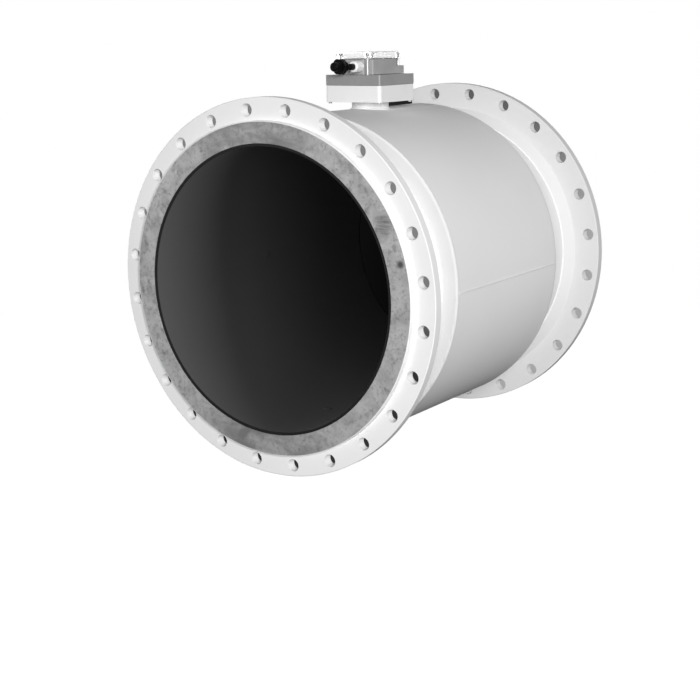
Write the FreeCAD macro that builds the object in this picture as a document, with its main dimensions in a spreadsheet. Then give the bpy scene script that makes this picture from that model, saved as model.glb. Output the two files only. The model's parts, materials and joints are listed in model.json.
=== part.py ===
import FreeCAD, Part
import math
import os
import Sketcher

# A flanged electromagnetic flow meter for a water main.
# The pipe axis runs along +Y and +Z is up. The origin is the centre of the inlet flange's bolt face.

doc = FreeCAD.newDocument("flow_meter")
sheet = doc.addObject("Spreadsheet::Sheet", "size")

# Driving dimensions, in millimetres unless the name says count or angle
DIMENSIONS = (
    ("seat_gap", 0.3, "clearance between pieces that are assembled into each other"),
    ("running_gap", 0.06, "radial clearance of a nut that turns on its thread"),
    # pipe and lining
    ("liner_bore_radius", 337, "bore that the water flows through"),
    ("liner_wall", 6, "thickness of the rubber lining"),
    ("tube_wall", 12.2, "wall of the measuring tube"),
    ("bolt_face_span", 875, "from the inlet bolt face to the outlet bolt face"),
    # flanges
    ("flange_reach", 92, "from the outside of the pipe to the rim of a flange"),
    ("flange_depth", 24, "thickness of the flange plate"),
    ("flange_edge", 1.5, "chamfer round the rim"),
    ("hub_reach", 24.5, "from the pipe to the foot of the weld hub"),
    ("hub_lip", 3, "wall of the weld hub at its thin end"),
    ("hub_length", 22, "length of the weld hub along the pipe"),
    ("bolt_margin", 27.5, "from the rim to the centres of the flange bolts"),
    ("bolt_hole_radius", 15, "clearance hole of a flange bolt"),
    ("bolt_count", 24, "bolts in each flange"),
    ("sealing_ring_reach", 39, "from the pipe to the rim of the raised steel ring"),
    ("sealing_ring_depth", 16.5, "height of the raised steel ring"),
    ("sealing_ring_edge", 1, "chamfer on the raised steel ring"),
    # drum
    ("drum_clearance", 10.9, "from the return yokes to the sheet of the coil housing"),
    ("drum_end_gap", 46, "from the reference electrode to the end of the coil housing"),
    ("drum_sheet", 3, "sheet of the coil housing"),
    ("end_plate_depth", 8, "plate that closes each end of the coil housing"),
    ("end_plate_round", 6, "rounded outer edge of the end plates"),
    ("seam_width", 7, "width of the weld seam along the drum"),
    ("seam_height", 0.6, "height of the weld seam over the sheet"),
    # coils and iron
    ("pad_depth", 2.2, "insulating saddle under a coil"),
    ("pad_margin", 6, "how far the saddle reaches past the coil at each end"),
    ("pad_angle", 112, "sector of the insulating saddle"),
    ("pad_corner", 24, "corner of the insulating saddle"),
    ("coil_depth", 18, "radial height of a coil"),
    ("coil_length", 340, "length of a coil along the pipe"),
    ("coil_angle", 108, "sector that a coil covers"),
    ("coil_window_length", 220, "window of a coil along the pipe"),
    ("coil_window_angle", 46, "sector of the window"),
    ("coil_corner", 36, "outer corner of a coil"),
    ("coil_window_corner", 12, "inner corner of a coil"),
    ("core_depth", 24, "radial height of a pole core"),
    ("core_length", 190, "length of a pole core along the pipe"),
    ("core_angle", 34, "sector of a pole core"),
    ("yoke_sheet", 3.5, "sheet of the return yokes"),
    ("yoke_width", 120, "width of the return yokes along the pipe"),
    ("yoke_angle", 172, "sector of one return yoke"),
    ("yoke_window_radius", 34, "hole in a yoke round the electrode"),
    ("yoke_screw_angle", 80, "from the electrode to the yoke's end screws"),
    ("yoke_screw_spacing", 76, "between the two screws of a yoke's end"),
    ("yoke_screw_radius", 3, "shank of a yoke screw"),
    ("yoke_screw_head_radius", 5.5, "head of a yoke screw"),
    ("yoke_screw_head", 2.6, "height of the head of a yoke screw"),
    ("yoke_screw_reach", 12, "length of the shank in the pole core"),
    # electrodes
    ("electrode_head_radius", 10, "electrode disc in the bore"),
    ("electrode_head", 3, "thickness of the electrode disc"),
    ("electrode_shank_radius", 6, "shank of an electrode"),
    ("bush_radius", 9.7, "sleeve of the insulating bush"),
    ("bush_collar_radius", 18, "collar of the insulating bush"),
    ("bush_collar", 5, "thickness of the collar"),
    ("spring_radius", 14, "disc spring"),
    ("spring_depth", 4, "height of the disc spring"),
    ("spring_sheet", 1.6, "sheet of the disc spring"),
    ("nut_flats", 19, "electrode nut across its flats"),
    ("nut_depth", 9, "height of an electrode nut"),
    ("reference_gap", 36.5, "from the lower saddle to the reference electrode"),
    # leads
    ("lead_radius", 2.5, "outside of a lead"),
    ("lead_clearance", 1, "from the yokes to a lead"),
    ("lead_turn", 14, "bend where a lead turns into the neck"),
    ("lead_offset", 8, "from the middle of the neck to a lead"),
    ("lead_pitch", 12, "between neighbouring leads in the neck"),
    # neck
    ("neck_radius", 46.5, "outside of the neck"),
    ("neck_wall", 6, "wall of the neck"),
    ("neck_foot", 6, "depth of the neck below the top of the drum"),
    ("neck_rise", 17.6, "from the top of the drum to the transmitter"),
    ("neck_rim", 8, "height of the inner rim that takes the screws"),
    ("neck_throat_radius", 29, "opening in the rim"),
    ("neck_gasket_depth", 1.5, "gasket between neck and base"),
    ("neck_screw_circle_radius", 38, "centres of the neck screws"),
    # transmitter base
    ("case_side", 163, "side of the square base and of the grey plate"),
    ("base_corner", 8.5, "rounded upright corners of the base"),
    ("plate_corner", 6, "rounded upright corners of the grey plate"),
    ("case_wall", 4, "wall of base and plate"),
    ("base_height", 40.8, "height of the base"),
    ("base_floor", 5, "floor of the base"),
    ("gasket_depth", 0.8, "flat gaskets between the boxes"),
    ("gasket_inset", 0.8, "gaskets end this far inside the walls"),
    ("base_screw_inset", 9, "corner screws from the sides of the base"),
    ("base_post_radius", 7, "post round a corner screw"),
    ("screw_radius", 2.5, "shank of the small screws"),
    ("screw_head_radius", 4.4, "head of the small screws"),
    ("screw_head", 3.6, "height of the head of the small screws"),
    ("screw_reach", 10, "length of a screw in its thread"),
    ("screw_socket_radius", 1.9, "socket in the screw heads"),
    ("screw_socket_depth", 1.8, "depth of the socket"),
    # grey plate
    ("plate_height", 25.1, "height of the grey plate"),
    ("plate_top", 5, "top wall of the grey plate"),
    ("plate_opening_x", 52, "opening in the top of the plate, across"),
    ("plate_opening_y", 96, "opening in the top of the plate, along the pipe"),
    # electronics housing
    ("housing_x", 103, "upper housing across the pipe"),
    ("housing_y", 160, "upper housing along the pipe"),
    ("housing_height", 36.7, "height of the upper housing"),
    ("housing_wall", 3, "wall of the upper housing"),
    ("housing_floor", 3, "floor of the upper housing"),
    ("housing_round", 2.5, "rounded upright edges of the upper housing"),
    ("notch_x", 18, "corner notch across the pipe"),
    ("notch_y", 14.5, "front corner notch along the pipe"),
    ("rear_notch_y", 36, "rear corner notch along the pipe"),
    ("rear_shelf", 19, "height of the solid part under the rear notches"),
    ("lid_screw_x", 39, "lid screws from the middle, across"),
    ("lid_screw_y", 71, "lid screws from the middle, along the pipe"),
    ("lid_screw_radius", 3.1, "shank of a lid screw"),
    ("lid_screw_head_radius", 5, "head of a lid screw"),
    ("lid_screw_head", 5, "height of the head of a lid screw"),
    ("seal_depth", 1.2, "lid seal"),
    # clear lid
    ("lid_height", 17, "height of the clear lid"),
    ("lid_wall", 2.5, "wall of the clear lid"),
    ("lid_corner", 8, "rounded upright corners of the lid"),
    ("lid_top_round", 2, "rounded upper edge of the lid"),
    ("lid_post_radius", 7.5, "post round a lid screw"),
    ("lid_shelf", 8, "height of the ledge under a screw head"),
    # electronics
    ("board_x", 88, "main board across"),
    ("board_y", 78, "main board along the pipe"),
    ("board_depth", 1.6, "thickness of the boards"),
    ("board_post_radius", 3.5, "posts under the main board"),
    ("board_post_height", 16, "height of the posts"),
    ("board_post_inset", 6, "posts from the edges of the board"),
    ("display_x", 62, "display across"),
    ("display_y", 40, "display along the pipe"),
    ("display_depth", 9, "height of the display"),
    ("bezel_margin", 6, "face plate round the display"),
    ("bezel_depth", 1.6, "thickness of the face plate"),
    ("glass_sink", 1.2, "display glass below the face plate"),
    ("cell_radius", 16.6, "battery cell"),
    ("cell_length", 61, "battery cell"),
    ("cell_offset", 56, "battery cells from the middle"),
    ("cradle_width", 12, "battery cradle along the cell"),
    ("cradle_wall", 2.2, "wall of a battery cradle"),
    ("cradle_spacing", 38, "between the two cradles of a cell"),
    ("terminal_board_x", 62, "terminal board across"),
    ("terminal_board_y", 84, "terminal board along the pipe"),
    ("terminal_board_rise", 12, "terminal board over the floor"),
    ("terminal_block_x", 46, "terminal block across"),
    ("terminal_block_y", 14, "terminal block along the pipe"),
    ("terminal_block_height", 12, "terminal block"),
    ("terminal_block_offset", 20, "terminal blocks from the middle"),
    ("terminal_count", 6, "wire entries of a terminal block"),
    ("terminal_entry_radius", 2.4, "wire entry"),
    # glands
    ("gland_height", 20.5, "gland axes over the grey plate"),
    ("gland_boss", 7, "thicker front wall that takes the glands"),
    ("gland_boss_rise", 11, "front boss above the gland axes"),
    ("gland_stem", 2, "length of a gland's thread behind the boss"),
    ("gland_collar_radius", 12.6, "collar of both glands"),
    ("gland_seat", 3.4, "opening between a gland's thread and its closing piece"),
    ("black_gland_x", 22, "black gland from the middle"),
    ("black_collar_depth", 15.5, "collar behind the black gland's hexagon"),
    ("black_hex_radius", 19.5, "corners of the black gland's hexagon"),
    ("black_hex_flats", 37, "black gland across its flats"),
    ("black_hex_depth", 12, "height of the black gland's hexagon"),
    ("black_thread_radius", 8.2, "thread of the black gland"),
    ("black_nut_radius", 11.5, "outside of the black nut"),
    ("black_nut_depth", 22, "length of the black nut"),
    ("black_nut_round", 3, "rounded nose of the black nut"),
    ("black_nut_mouth_radius", 6.6, "mouth of the black nut"),
    ("black_groove_radius", 0.9, "grip grooves of the black nut"),
    ("black_groove_count", 16, "grip grooves of the black nut"),
    ("metal_gland_x", 22, "metal gland from the middle"),
    ("metal_collar_depth", 7, "collar of the metal gland"),
    ("metal_thread_radius", 9, "thread of the metal gland"),
    ("metal_nut_radius", 13.5, "outside of the metal nut"),
    ("metal_nut_depth", 24, "length of the metal nut"),
    ("metal_nut_round", 4.2, "rounded nose of the metal nut"),
    ("metal_groove_radius", 0.6, "knurl of the metal nut"),
    ("metal_groove_count", 24, "knurl of the metal nut"),
    ("metal_plug_radius", 7.8, "black closing piece of the metal gland"),
    ("metal_plug_reach", 12, "closing piece in front of the metal nut"),
    ("metal_plug_round", 1.5, "rounded end of the closing piece"),
    ("seal_screw_x", 2.6, "small sealing screw from the middle"),
    ("seal_screw_height", 6.4, "small sealing screw over the grey plate"),
    ("seal_screw_radius", 2.6, "head of the small sealing screw"),
    ("seal_screw_head", 1.6, "height of its head"),
    ("seal_screw_shank_radius", 1.4, "shank of the small sealing screw"),
)

for row, (name, number, meaning) in enumerate(DIMENSIONS, start=1):
    sheet.set(f"A{row}", name)
    sheet.set(f"B{row}", str(number))
    sheet.set(f"C{row}", meaning)
    sheet.setAlias(f"B{row}", name)
doc.recompute()


def number(name):
    """The value of one driving dimension."""
    return float(sheet.get(name))


# Places worked out from the driving dimensions
MIDDLE = "size.bolt_face_span / 2"
LINER_OUTER = "(size.liner_bore_radius + size.liner_wall)"
TUBE_INNER = f"({LINER_OUTER} + size.seat_gap)"
TUBE_OUTER = f"({TUBE_INNER} + size.tube_wall)"
ON_TUBE = f"({TUBE_OUTER} + size.seat_gap)"
PAD_OUTER = f"({ON_TUBE} + size.pad_depth)"
COIL_INNER = f"({PAD_OUTER} + size.seat_gap)"
COIL_OUTER = f"({COIL_INNER} + size.coil_depth)"
CORE_OUTER = f"({COIL_INNER} + size.core_depth)"
YOKE_INNER = f"({CORE_OUTER} + size.seat_gap)"
YOKE_OUTER = f"({YOKE_INNER} + size.yoke_sheet)"
DRUM_INNER = f"({YOKE_OUTER} + size.drum_clearance)"
DRUM_OUTER = f"({DRUM_INNER} + size.drum_sheet)"
REFERENCE_REACH = "(size.coil_length / 2 + size.pad_margin + size.reference_gap)"
DRUM_LENGTH = f"(2 * ({REFERENCE_REACH} + size.drum_end_gap))"
REFERENCE_STATION = f"({MIDDLE} - {REFERENCE_REACH})"
FLANGE_RIM = f"({TUBE_OUTER} + size.flange_reach)"
BOLT_CIRCLE = f"({FLANGE_RIM} - size.bolt_margin)"
HUB_FOOT = f"({TUBE_OUTER} + size.hub_reach)"
RING_RIM = f"({TUBE_OUTER} + size.sealing_ring_reach)"
BASE_BOTTOM = f"({DRUM_OUTER} + size.neck_rise)"
BASE_TOP = f"({BASE_BOTTOM} + size.base_height)"
PLATE_BOTTOM = f"({BASE_TOP} + size.gasket_depth)"
PLATE_TOP = f"({PLATE_BOTTOM} + size.plate_height)"
HOUSING_BOTTOM = f"({PLATE_TOP} + size.gasket_depth)"
HOUSING_TOP = f"({HOUSING_BOTTOM} + size.housing_height)"
LID_BOTTOM = f"({HOUSING_TOP} + size.seal_depth)"
HOUSING_FRONT = f"({MIDDLE} - size.housing_y / 2)"
GLAND_AXIS = f"({PLATE_TOP} + size.gland_height)"

UP = FreeCAD.Vector(0, 0, 1)
NO_TURN = FreeCAD.Rotation()
ALONG_FLOW_REVERSED = FreeCAD.Rotation(UP, 180)
FACING_UP = FreeCAD.Rotation(FreeCAD.Vector(0, 1, 0), -90)
FACING_DOWN = FreeCAD.Rotation(FreeCAD.Vector(0, 1, 0), 90)
FACING_LEFT = FreeCAD.Rotation(FreeCAD.Vector(0, 1, 0), 180)

SUB_PARTS = []


def new_body(name, x="0", y="0", z="0", turn=NO_TURN):
    """An empty body whose place follows the sheet."""
    body = doc.addObject("PartDesign::Body", name)
    body.Label = name
    body.Placement = FreeCAD.Placement(FreeCAD.Vector(), turn)
    for axis, formula in (("x", x), ("y", y), ("z", z)):
        body.setExpression(f"Placement.Base.{axis}", formula)
    SUB_PARTS.append(body)
    return body


def origin_feature(body, role):
    """An axis or plane of the body's own origin."""
    return next(feature for feature in body.Origin.OriginFeatures if feature.Role == role)


def new_sketch(body, name, role="XY_Plane", level="0", turn=NO_TURN):
    """A sketch on one of the body's origin planes, lifted off it by level and then turned."""
    sketch = body.newObject("Sketcher::SketchObject", name)
    sketch.AttachmentSupport = (origin_feature(body, role), [""])
    sketch.MapMode = "FlatFace"
    sketch.AttachmentOffset = FreeCAD.Placement(FreeCAD.Vector(), turn)
    sketch.setExpression("AttachmentOffset.Base.z", level)
    return sketch


def pin(sketch, geometry, point, x, y):
    """Hold one point of the sketch at x, y, measured from the sketch's origin."""
    for kind, formula, axis in (("DistanceX", x, -2), ("DistanceY", y, -1)):
        if formula == "0":
            sketch.addConstraint(Sketcher.Constraint("PointOnObject", geometry, point, axis))
        else:
            index = sketch.addConstraint(Sketcher.Constraint(kind, -1, 1, geometry, point, 1.0))
            sketch.setExpression(f"Constraints[{index}]", formula)


def add_polygon(sketch, corners):
    """A closed outline through the corners, each given as a pair of formulas."""
    count = len(corners)
    angles = [2 * math.pi * (index + 0.3) / count for index in range(count)]
    rough = [FreeCAD.Vector(10 * math.cos(angle), 10 * math.sin(angle), 0) for angle in angles]
    sides = []
    for index in range(count):
        side = Part.LineSegment(rough[index], rough[(index + 1) % count])
        sides.append(sketch.addGeometry(side, False))
    for index in range(count):
        following = sides[(index + 1) % count]
        sketch.addConstraint(Sketcher.Constraint("Coincident", sides[index], 2, following, 1))
    for side, (x, y) in zip(sides, corners):
        pin(sketch, side, 1, x, y)


def add_rectangle(sketch, x_low, y_low, x_high, y_high):
    """An upright rectangle."""
    add_polygon(sketch, ((x_low, y_low), (x_high, y_low), (x_high, y_high), (x_low, y_high)))


def add_centred_rectangle(sketch, x_size, y_size):
    """An upright rectangle round the sketch's origin."""
    add_rectangle(sketch, f"-{x_size} / 2", f"-{y_size} / 2", f"{x_size} / 2", f"{y_size} / 2")


def add_circle(sketch, x, y, radius):
    """A circle."""
    circle = Part.Circle(FreeCAD.Vector(1, 1, 0), UP, 1)
    geometry = sketch.addGeometry(circle, False)
    pin(sketch, geometry, 3, x, y)
    index = sketch.addConstraint(Sketcher.Constraint("Radius", geometry, 1.0))
    sketch.setExpression(f"Constraints[{index}]", radius)


def add_four_circles(sketch, x, y, radius):
    """The same circle in each quadrant."""
    for x_sign in ("", "-"):
        for y_sign in ("", "-"):
            add_circle(sketch, x_sign + x, y_sign + y, radius)


def add_hexagon(sketch, flats):
    """A hexagon round the sketch's origin, with one pair of flats level."""
    corners = []
    for index in range(6):
        angle = f"{60 * index} deg"
        corners.append((f"{flats} / sqrt(3) * cos({angle})", f"{flats} / sqrt(3) * sin({angle})"))
    corners[0] = (corners[0][0], "0")
    corners[3] = (corners[3][0], "0")
    add_polygon(sketch, corners)


def add_cross(sketch, inset):
    """The outline of the upper housing, moved in by inset: its rear notches are the longer ones."""
    far_x = f"(size.housing_x / 2 - {inset})"
    far_y = f"(size.housing_y / 2 - {inset})"
    near_x = f"(size.housing_x / 2 - size.notch_x - {inset})"
    front_y = f"(size.housing_y / 2 - size.notch_y - {inset})"
    rear_y = f"(size.housing_y / 2 - size.rear_notch_y - {inset})"
    front = ((near_x, far_y), (near_x, front_y), (far_x, front_y))
    rear = ((near_x, far_y), (near_x, rear_y), (far_x, rear_y))
    corners = list(rear)
    corners += [(x, "-" + y) for x, y in reversed(front)]
    corners += [("-" + x, "-" + y) for x, y in front]
    corners += [("-" + x, y) for x, y in reversed(rear)]
    add_polygon(sketch, corners)


def finish_feature(body, feature):
    """Recompute, and stop if the feature failed."""
    doc.recompute()
    if "Invalid" in feature.State or "Error" in feature.State:
        raise RuntimeError(f"{body.Label}: {feature.Label} failed")
    return feature


def revolve(body, sketch, name, sector="360"):
    """Turn the sketch about its upright axis, evenly to both sides where it is a sector."""
    feature = body.newObject("PartDesign::Revolution", name)
    feature.Profile = sketch
    feature.ReferenceAxis = (sketch, ["V_Axis"])
    feature.Midplane = sector != "360"
    feature.setExpression("Angle", sector)
    return finish_feature(body, feature)


def pad(body, sketch, name, length, midplane=False, backwards=False):
    """Raise the sketch."""
    feature = body.newObject("PartDesign::Pad", name)
    feature.Profile = sketch
    feature.SideType = "Symmetric" if midplane else "One side"
    feature.Reversed = backwards
    feature.setExpression("Length", length)
    return finish_feature(body, feature)


def must_shrink(body, before):
    """A cut that points away from the solid removes nothing, so its volume is compared."""
    if not body.Shape.Volume < before - 1e-6:
        raise RuntimeError(f"{body.Label}: a cut removed nothing")


def pocket(body, sketch, name, length=None, midplane=False, upwards=False):
    """Cut the sketch into the solid, or right through where no length is given."""
    before = body.Shape.Volume
    feature = body.newObject("PartDesign::Pocket", name)
    feature.Profile = sketch
    feature.SideType = "Symmetric" if midplane else "One side"
    feature.Reversed = upwards
    if length is None:
        feature.Type = "ThroughAll"
    else:
        feature.setExpression("Length", length)
    finish_feature(body, feature)
    must_shrink(body, before)
    return feature


def groove(body, sketch, name, sector):
    """Cut a sector out of the solid."""
    before = body.Shape.Volume
    feature = body.newObject("PartDesign::Groove", name)
    feature.Profile = sketch
    feature.ReferenceAxis = (sketch, ["V_Axis"])
    feature.Midplane = True
    feature.setExpression("Angle", sector)
    finish_feature(body, feature)
    must_shrink(body, before)
    return feature


def polar_pattern(body, feature, name, role, count):
    """Repeat the feature round one of the body's axes."""
    before = body.Shape.Volume
    pattern = body.newObject("PartDesign::PolarPattern", name)
    pattern.Originals = [feature]
    pattern.Axis = (origin_feature(body, role), [""])
    pattern.Angle = 360
    pattern.setExpression("Occurrences", count)
    body.Tip = pattern
    finish_feature(body, pattern)
    must_shrink(body, before)
    return pattern


def dress(body, kind, name, size, wanted):
    """A fillet or chamfer on every edge for which wanted is true."""
    base = body.Tip
    names = [f"Edge{index}" for index, edge in enumerate(base.Shape.Edges, start=1) if wanted(edge)]
    if not names:
        raise RuntimeError(f"{body.Label}: no edge for {name}")
    feature = body.newObject(f"PartDesign::{kind}", name)
    feature.Base = (base, names)
    feature.setExpression("Radius" if kind == "Fillet" else "Size", size)
    return finish_feature(body, feature)


def is_circle(edge, radius, along=None, level=None):
    """A full or part circle of this radius, at this level along the given axis."""
    curve = edge.Curve
    if not isinstance(curve, Part.Circle) or abs(curve.Radius - radius) > 1e-4:
        return False
    return along is None or abs(getattr(curve.Center, along) - level) < 1e-4


def is_upright(edge):
    """A straight edge along Z."""
    if not isinstance(edge.Curve, Part.Line):
        return False
    return abs(abs(edge.Curve.Direction.z) - 1) < 1e-6


def is_radial(edge):
    """A straight edge square to the pipe axis."""
    if not isinstance(edge.Curve, Part.Line):
        return False
    return abs(edge.Curve.Direction.y) < 1e-6


def round_ring(name, inner, outer, length, y):
    """A plain ring round the pipe axis."""
    body = new_body(name, y=y)
    profile = new_sketch(body, f"{name}_profile")
    add_rectangle(profile, inner, "0", outer, length)
    revolve(body, profile, f"{name}_turned")
    return body


# Measuring tube and lining

def electrode_openings(body, station, start, radius):
    """The two side openings at the middle and the one below at the reference electrode."""
    side = new_sketch(body, f"{body.Label}_side_opening", "YZ_Plane")
    add_circle(side, f"{MIDDLE} - {start}", "0", radius)
    pocket(body, side, f"{body.Label}_side_cut", f"{FLANGE_RIM} * 2", midplane=True)
    below = new_sketch(body, f"{body.Label}_lower_opening", "XY_Plane")
    add_circle(below, "0", f"{station} - {start}", radius)
    pocket(body, below, f"{body.Label}_lower_cut", FLANGE_RIM)


def measuring_tube():
    body = round_ring("measuring_tube", TUBE_INNER, TUBE_OUTER, "size.bolt_face_span", "0")
    electrode_openings(body, REFERENCE_STATION, "0", "size.bush_radius + size.seat_gap")


def liner():
    reach = "size.bolt_face_span + 2 * size.sealing_ring_depth"
    start = "-size.sealing_ring_depth"
    body = round_ring("liner", "size.liner_bore_radius", LINER_OUTER, reach, start)
    opening = "size.electrode_shank_radius + size.seat_gap"
    electrode_openings(body, REFERENCE_STATION, f"({start})", opening)


# Flanges and the raised steel rings

def flange(name, y, turn):
    body = new_body(name, y=y, turn=turn)
    profile = new_sketch(body, f"{name}_profile")
    add_polygon(profile, (
        (ON_TUBE, "0"),
        (FLANGE_RIM, "0"),
        (FLANGE_RIM, "size.flange_depth"),
        (HUB_FOOT, "size.flange_depth"),
        (f"{ON_TUBE} + size.hub_lip", "size.flange_depth + size.hub_length"),
        (ON_TUBE, "size.flange_depth + size.hub_length"),
    ))
    revolve(body, profile, f"{name}_turned")
    rim = tube_outside() + number("flange_reach")
    dress(body, "Chamfer", f"{name}_edge", "size.flange_edge", lambda edge: is_circle(edge, rim))
    hole = new_sketch(body, f"{name}_hole", "XZ_Plane")
    half_pitch = "180 deg / size.bolt_count"
    across = f"{BOLT_CIRCLE} * sin({half_pitch})"
    height = f"{BOLT_CIRCLE} * cos({half_pitch})"
    add_circle(hole, across, height, "size.bolt_hole_radius")
    cut = pocket(body, hole, f"{name}_drilled", "size.flange_depth * 4", midplane=True)
    polar_pattern(body, cut, f"{name}_bolt_circle", "Y_Axis", "size.bolt_count")


def sealing_ring(name, y, turn):
    body = new_body(name, y=y, turn=turn)
    profile = new_sketch(body, f"{name}_profile")
    add_rectangle(profile, TUBE_INNER, "0", RING_RIM, "size.sealing_ring_depth")
    revolve(body, profile, f"{name}_turned")
    rim = tube_outside() + number("sealing_ring_reach")
    face = number("sealing_ring_depth")
    dress(body, "Chamfer", f"{name}_edge", "size.sealing_ring_edge",
          lambda edge: is_circle(edge, rim, "y", face))


# Coil housing

def coil_housing():
    shell_start = f"{MIDDLE} - {DRUM_LENGTH} / 2 + size.end_plate_depth"
    shell_length = f"{DRUM_LENGTH} - 2 * size.end_plate_depth"
    shell = round_ring("coil_housing_shell", DRUM_INNER, DRUM_OUTER, shell_length, shell_start)
    seam = new_sketch(shell, "seam_profile")
    add_rectangle(seam, DRUM_INNER, "0", f"{DRUM_OUTER} + size.seam_height", shell_length)
    revolve(shell, seam, "seam_bead", f"360 deg * size.seam_width / (2 * pi * {DRUM_OUTER})")
    opening = new_sketch(shell, "neck_opening")
    add_circle(opening, "0", f"({shell_length}) / 2", "size.neck_radius + size.seat_gap")
    pocket(shell, opening, "neck_cut", f"{DRUM_OUTER} + size.neck_rise", upwards=True)
    for name, y, turn in (
        ("inlet_end_plate", f"{MIDDLE} - {DRUM_LENGTH} / 2", NO_TURN),
        ("outlet_end_plate", f"{MIDDLE} + {DRUM_LENGTH} / 2", ALONG_FLOW_REVERSED),
    ):
        plate = new_body(name, y=y, turn=turn)
        profile = new_sketch(plate, f"{name}_profile")
        add_rectangle(profile, ON_TUBE, "0", DRUM_OUTER, "size.end_plate_depth")
        revolve(plate, profile, f"{name}_turned")
        rim = drum_outside()
        dress(plate, "Fillet", f"{name}_edge", "size.end_plate_round",
              lambda edge: is_circle(edge, rim, "y", 0))


# Coils, cores and return yokes

def saddle(name, inner, outer, length, sector, turn, corner):
    """A curved plate that lies on the pipe, with its corners rounded."""
    body = new_body(name, y=f"{MIDDLE} - ({length}) / 2", turn=turn)
    profile = new_sketch(body, f"{name}_profile")
    add_rectangle(profile, inner, "0", outer, length)
    revolve(body, profile, f"{name}_bent", sector)
    dress(body, "Fillet", f"{name}_corners", corner, is_radial)
    return body


def coil(side, turn):
    name = f"{side}_coil"
    body = saddle(name, COIL_INNER, COIL_OUTER, "size.coil_length", "size.coil_angle", turn,
                  "size.coil_corner")
    window = new_sketch(body, f"{name}_window")
    low = "(size.coil_length - size.coil_window_length) / 2"
    high = "(size.coil_length + size.coil_window_length) / 2"
    add_rectangle(window, COIL_INNER, low, COIL_OUTER, high)
    groove(body, window, f"{name}_window_cut", "size.coil_window_angle")
    half_window = math.radians(number("coil_window_angle") / 2)

    def at_window(edge):
        if not is_radial(edge):
            return False
        middle = edge.CenterOfMass
        return abs(math.atan2(middle.z, middle.x)) < half_window + 0.01

    dress(body, "Fillet", f"{name}_window_corners", "size.coil_window_corner", at_window)


def magnet():
    for side, turn in (("upper", FACING_UP), ("lower", FACING_DOWN)):
        saddle(f"{side}_coil_pad", ON_TUBE, PAD_OUTER, "size.coil_length + 2 * size.pad_margin",
               "size.pad_angle", turn, "size.pad_corner")
        coil(side, turn)
        core = saddle(f"{side}_pole_core", COIL_INNER, CORE_OUTER, "size.core_length",
                      "size.core_angle", turn, "size.coil_window_corner")
        core_screw_holes(core)
    for name, turn in (("right_return_yoke", NO_TURN), ("left_return_yoke", FACING_LEFT)):
        yoke(name, turn)


def radial_sketch(body, name, angle, level):
    """A sketch that faces outward at this angle, at this distance from the pipe axis."""
    turn = FreeCAD.Rotation(FreeCAD.Vector(1, 0, 0), -angle)
    sketch = new_sketch(body, name, "YZ_Plane", f"({level}) * cos({angle} deg)", turn)
    sketch.setExpression("AttachmentOffset.Base.y", f"({level}) * sin({angle} deg)")
    return sketch


def add_screw_pair(sketch, along, radius):
    """Two circles along the pipe."""
    for sign in ("-", "+"):
        add_circle(sketch, f"{along} {sign} size.yoke_screw_spacing / 2", "0", radius)


def core_screw_holes(core):
    """Threaded holes for the yoke screws, at both ends of the yokes."""
    lean = 90 - number("yoke_screw_angle")
    for index, angle in enumerate((lean, -lean)):
        holes = radial_sketch(core, f"{core.Label}_holes_{index}", angle, CORE_OUTER)
        add_screw_pair(holes, "size.core_length / 2", "size.yoke_screw_radius + size.seat_gap")
        pocket(core, holes, f"{core.Label}_tapped_{index}", "size.yoke_screw_reach + 1")


def yoke(name, turn):
    body = new_body(name, y=f"{MIDDLE} - size.yoke_width / 2", turn=turn)
    profile = new_sketch(body, f"{name}_profile")
    add_rectangle(profile, YOKE_INNER, "0", YOKE_OUTER, "size.yoke_width")
    revolve(body, profile, f"{name}_bent", "size.yoke_angle")
    window = new_sketch(body, f"{name}_window", "YZ_Plane")
    add_circle(window, "size.yoke_width / 2", "0", "size.yoke_window_radius")
    pocket(body, window, f"{name}_window_cut", FLANGE_RIM, upwards=True)
    for index, angle in enumerate((number("yoke_screw_angle"), -number("yoke_screw_angle"))):
        holes = radial_sketch(body, f"{name}_holes_{index}", angle, "0")
        add_screw_pair(holes, "size.yoke_width / 2", "size.yoke_screw_radius + size.seat_gap")
        pocket(body, holes, f"{name}_drilled_{index}", FLANGE_RIM, upwards=True)


def fastener_group(name, fastener, placements):
    """The same fastener at every placement, kept together as separate solids."""
    group = doc.addObject("Part::Feature", name)
    group.Label = name
    solids = [fastener.transformGeometry(placement.toMatrix()) for placement in placements]
    group.Shape = Part.makeCompound(solids)
    SUB_PARTS.append(group)
    return group


def around_axis(angle, along):
    """From the +X side of the pipe to the given angle, moved along the pipe."""
    turn = FreeCAD.Rotation(FreeCAD.Vector(0, 1, 0), -angle)
    return FreeCAD.Placement(FreeCAD.Vector(0, along, 0), turn)


def radial_cylinder(radius, low, high):
    """A cylinder along +X between two distances from the pipe axis."""
    along_x = FreeCAD.Vector(1, 0, 0)
    return Part.makeCylinder(radius, high - low, FreeCAD.Vector(low, 0, 0), along_x)


def tube_outside():
    """The outside radius of the measuring tube."""
    lining = number("liner_bore_radius") + number("liner_wall")
    return lining + number("seat_gap") + number("tube_wall")


def drum_outside():
    """The outside radius of the coil housing."""
    return yoke_outside() + number("drum_clearance") + number("drum_sheet")


def reference_reach():
    """From the middle of the meter to the reference electrode, along the pipe."""
    return number("coil_length") / 2 + number("pad_margin") + number("reference_gap")


def yoke_outside():
    """The outside radius of the return yokes."""
    coil_inside = tube_outside() + 2 * number("seat_gap") + number("pad_depth")
    return coil_inside + number("core_depth") + number("seat_gap") + number("yoke_sheet")


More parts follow.
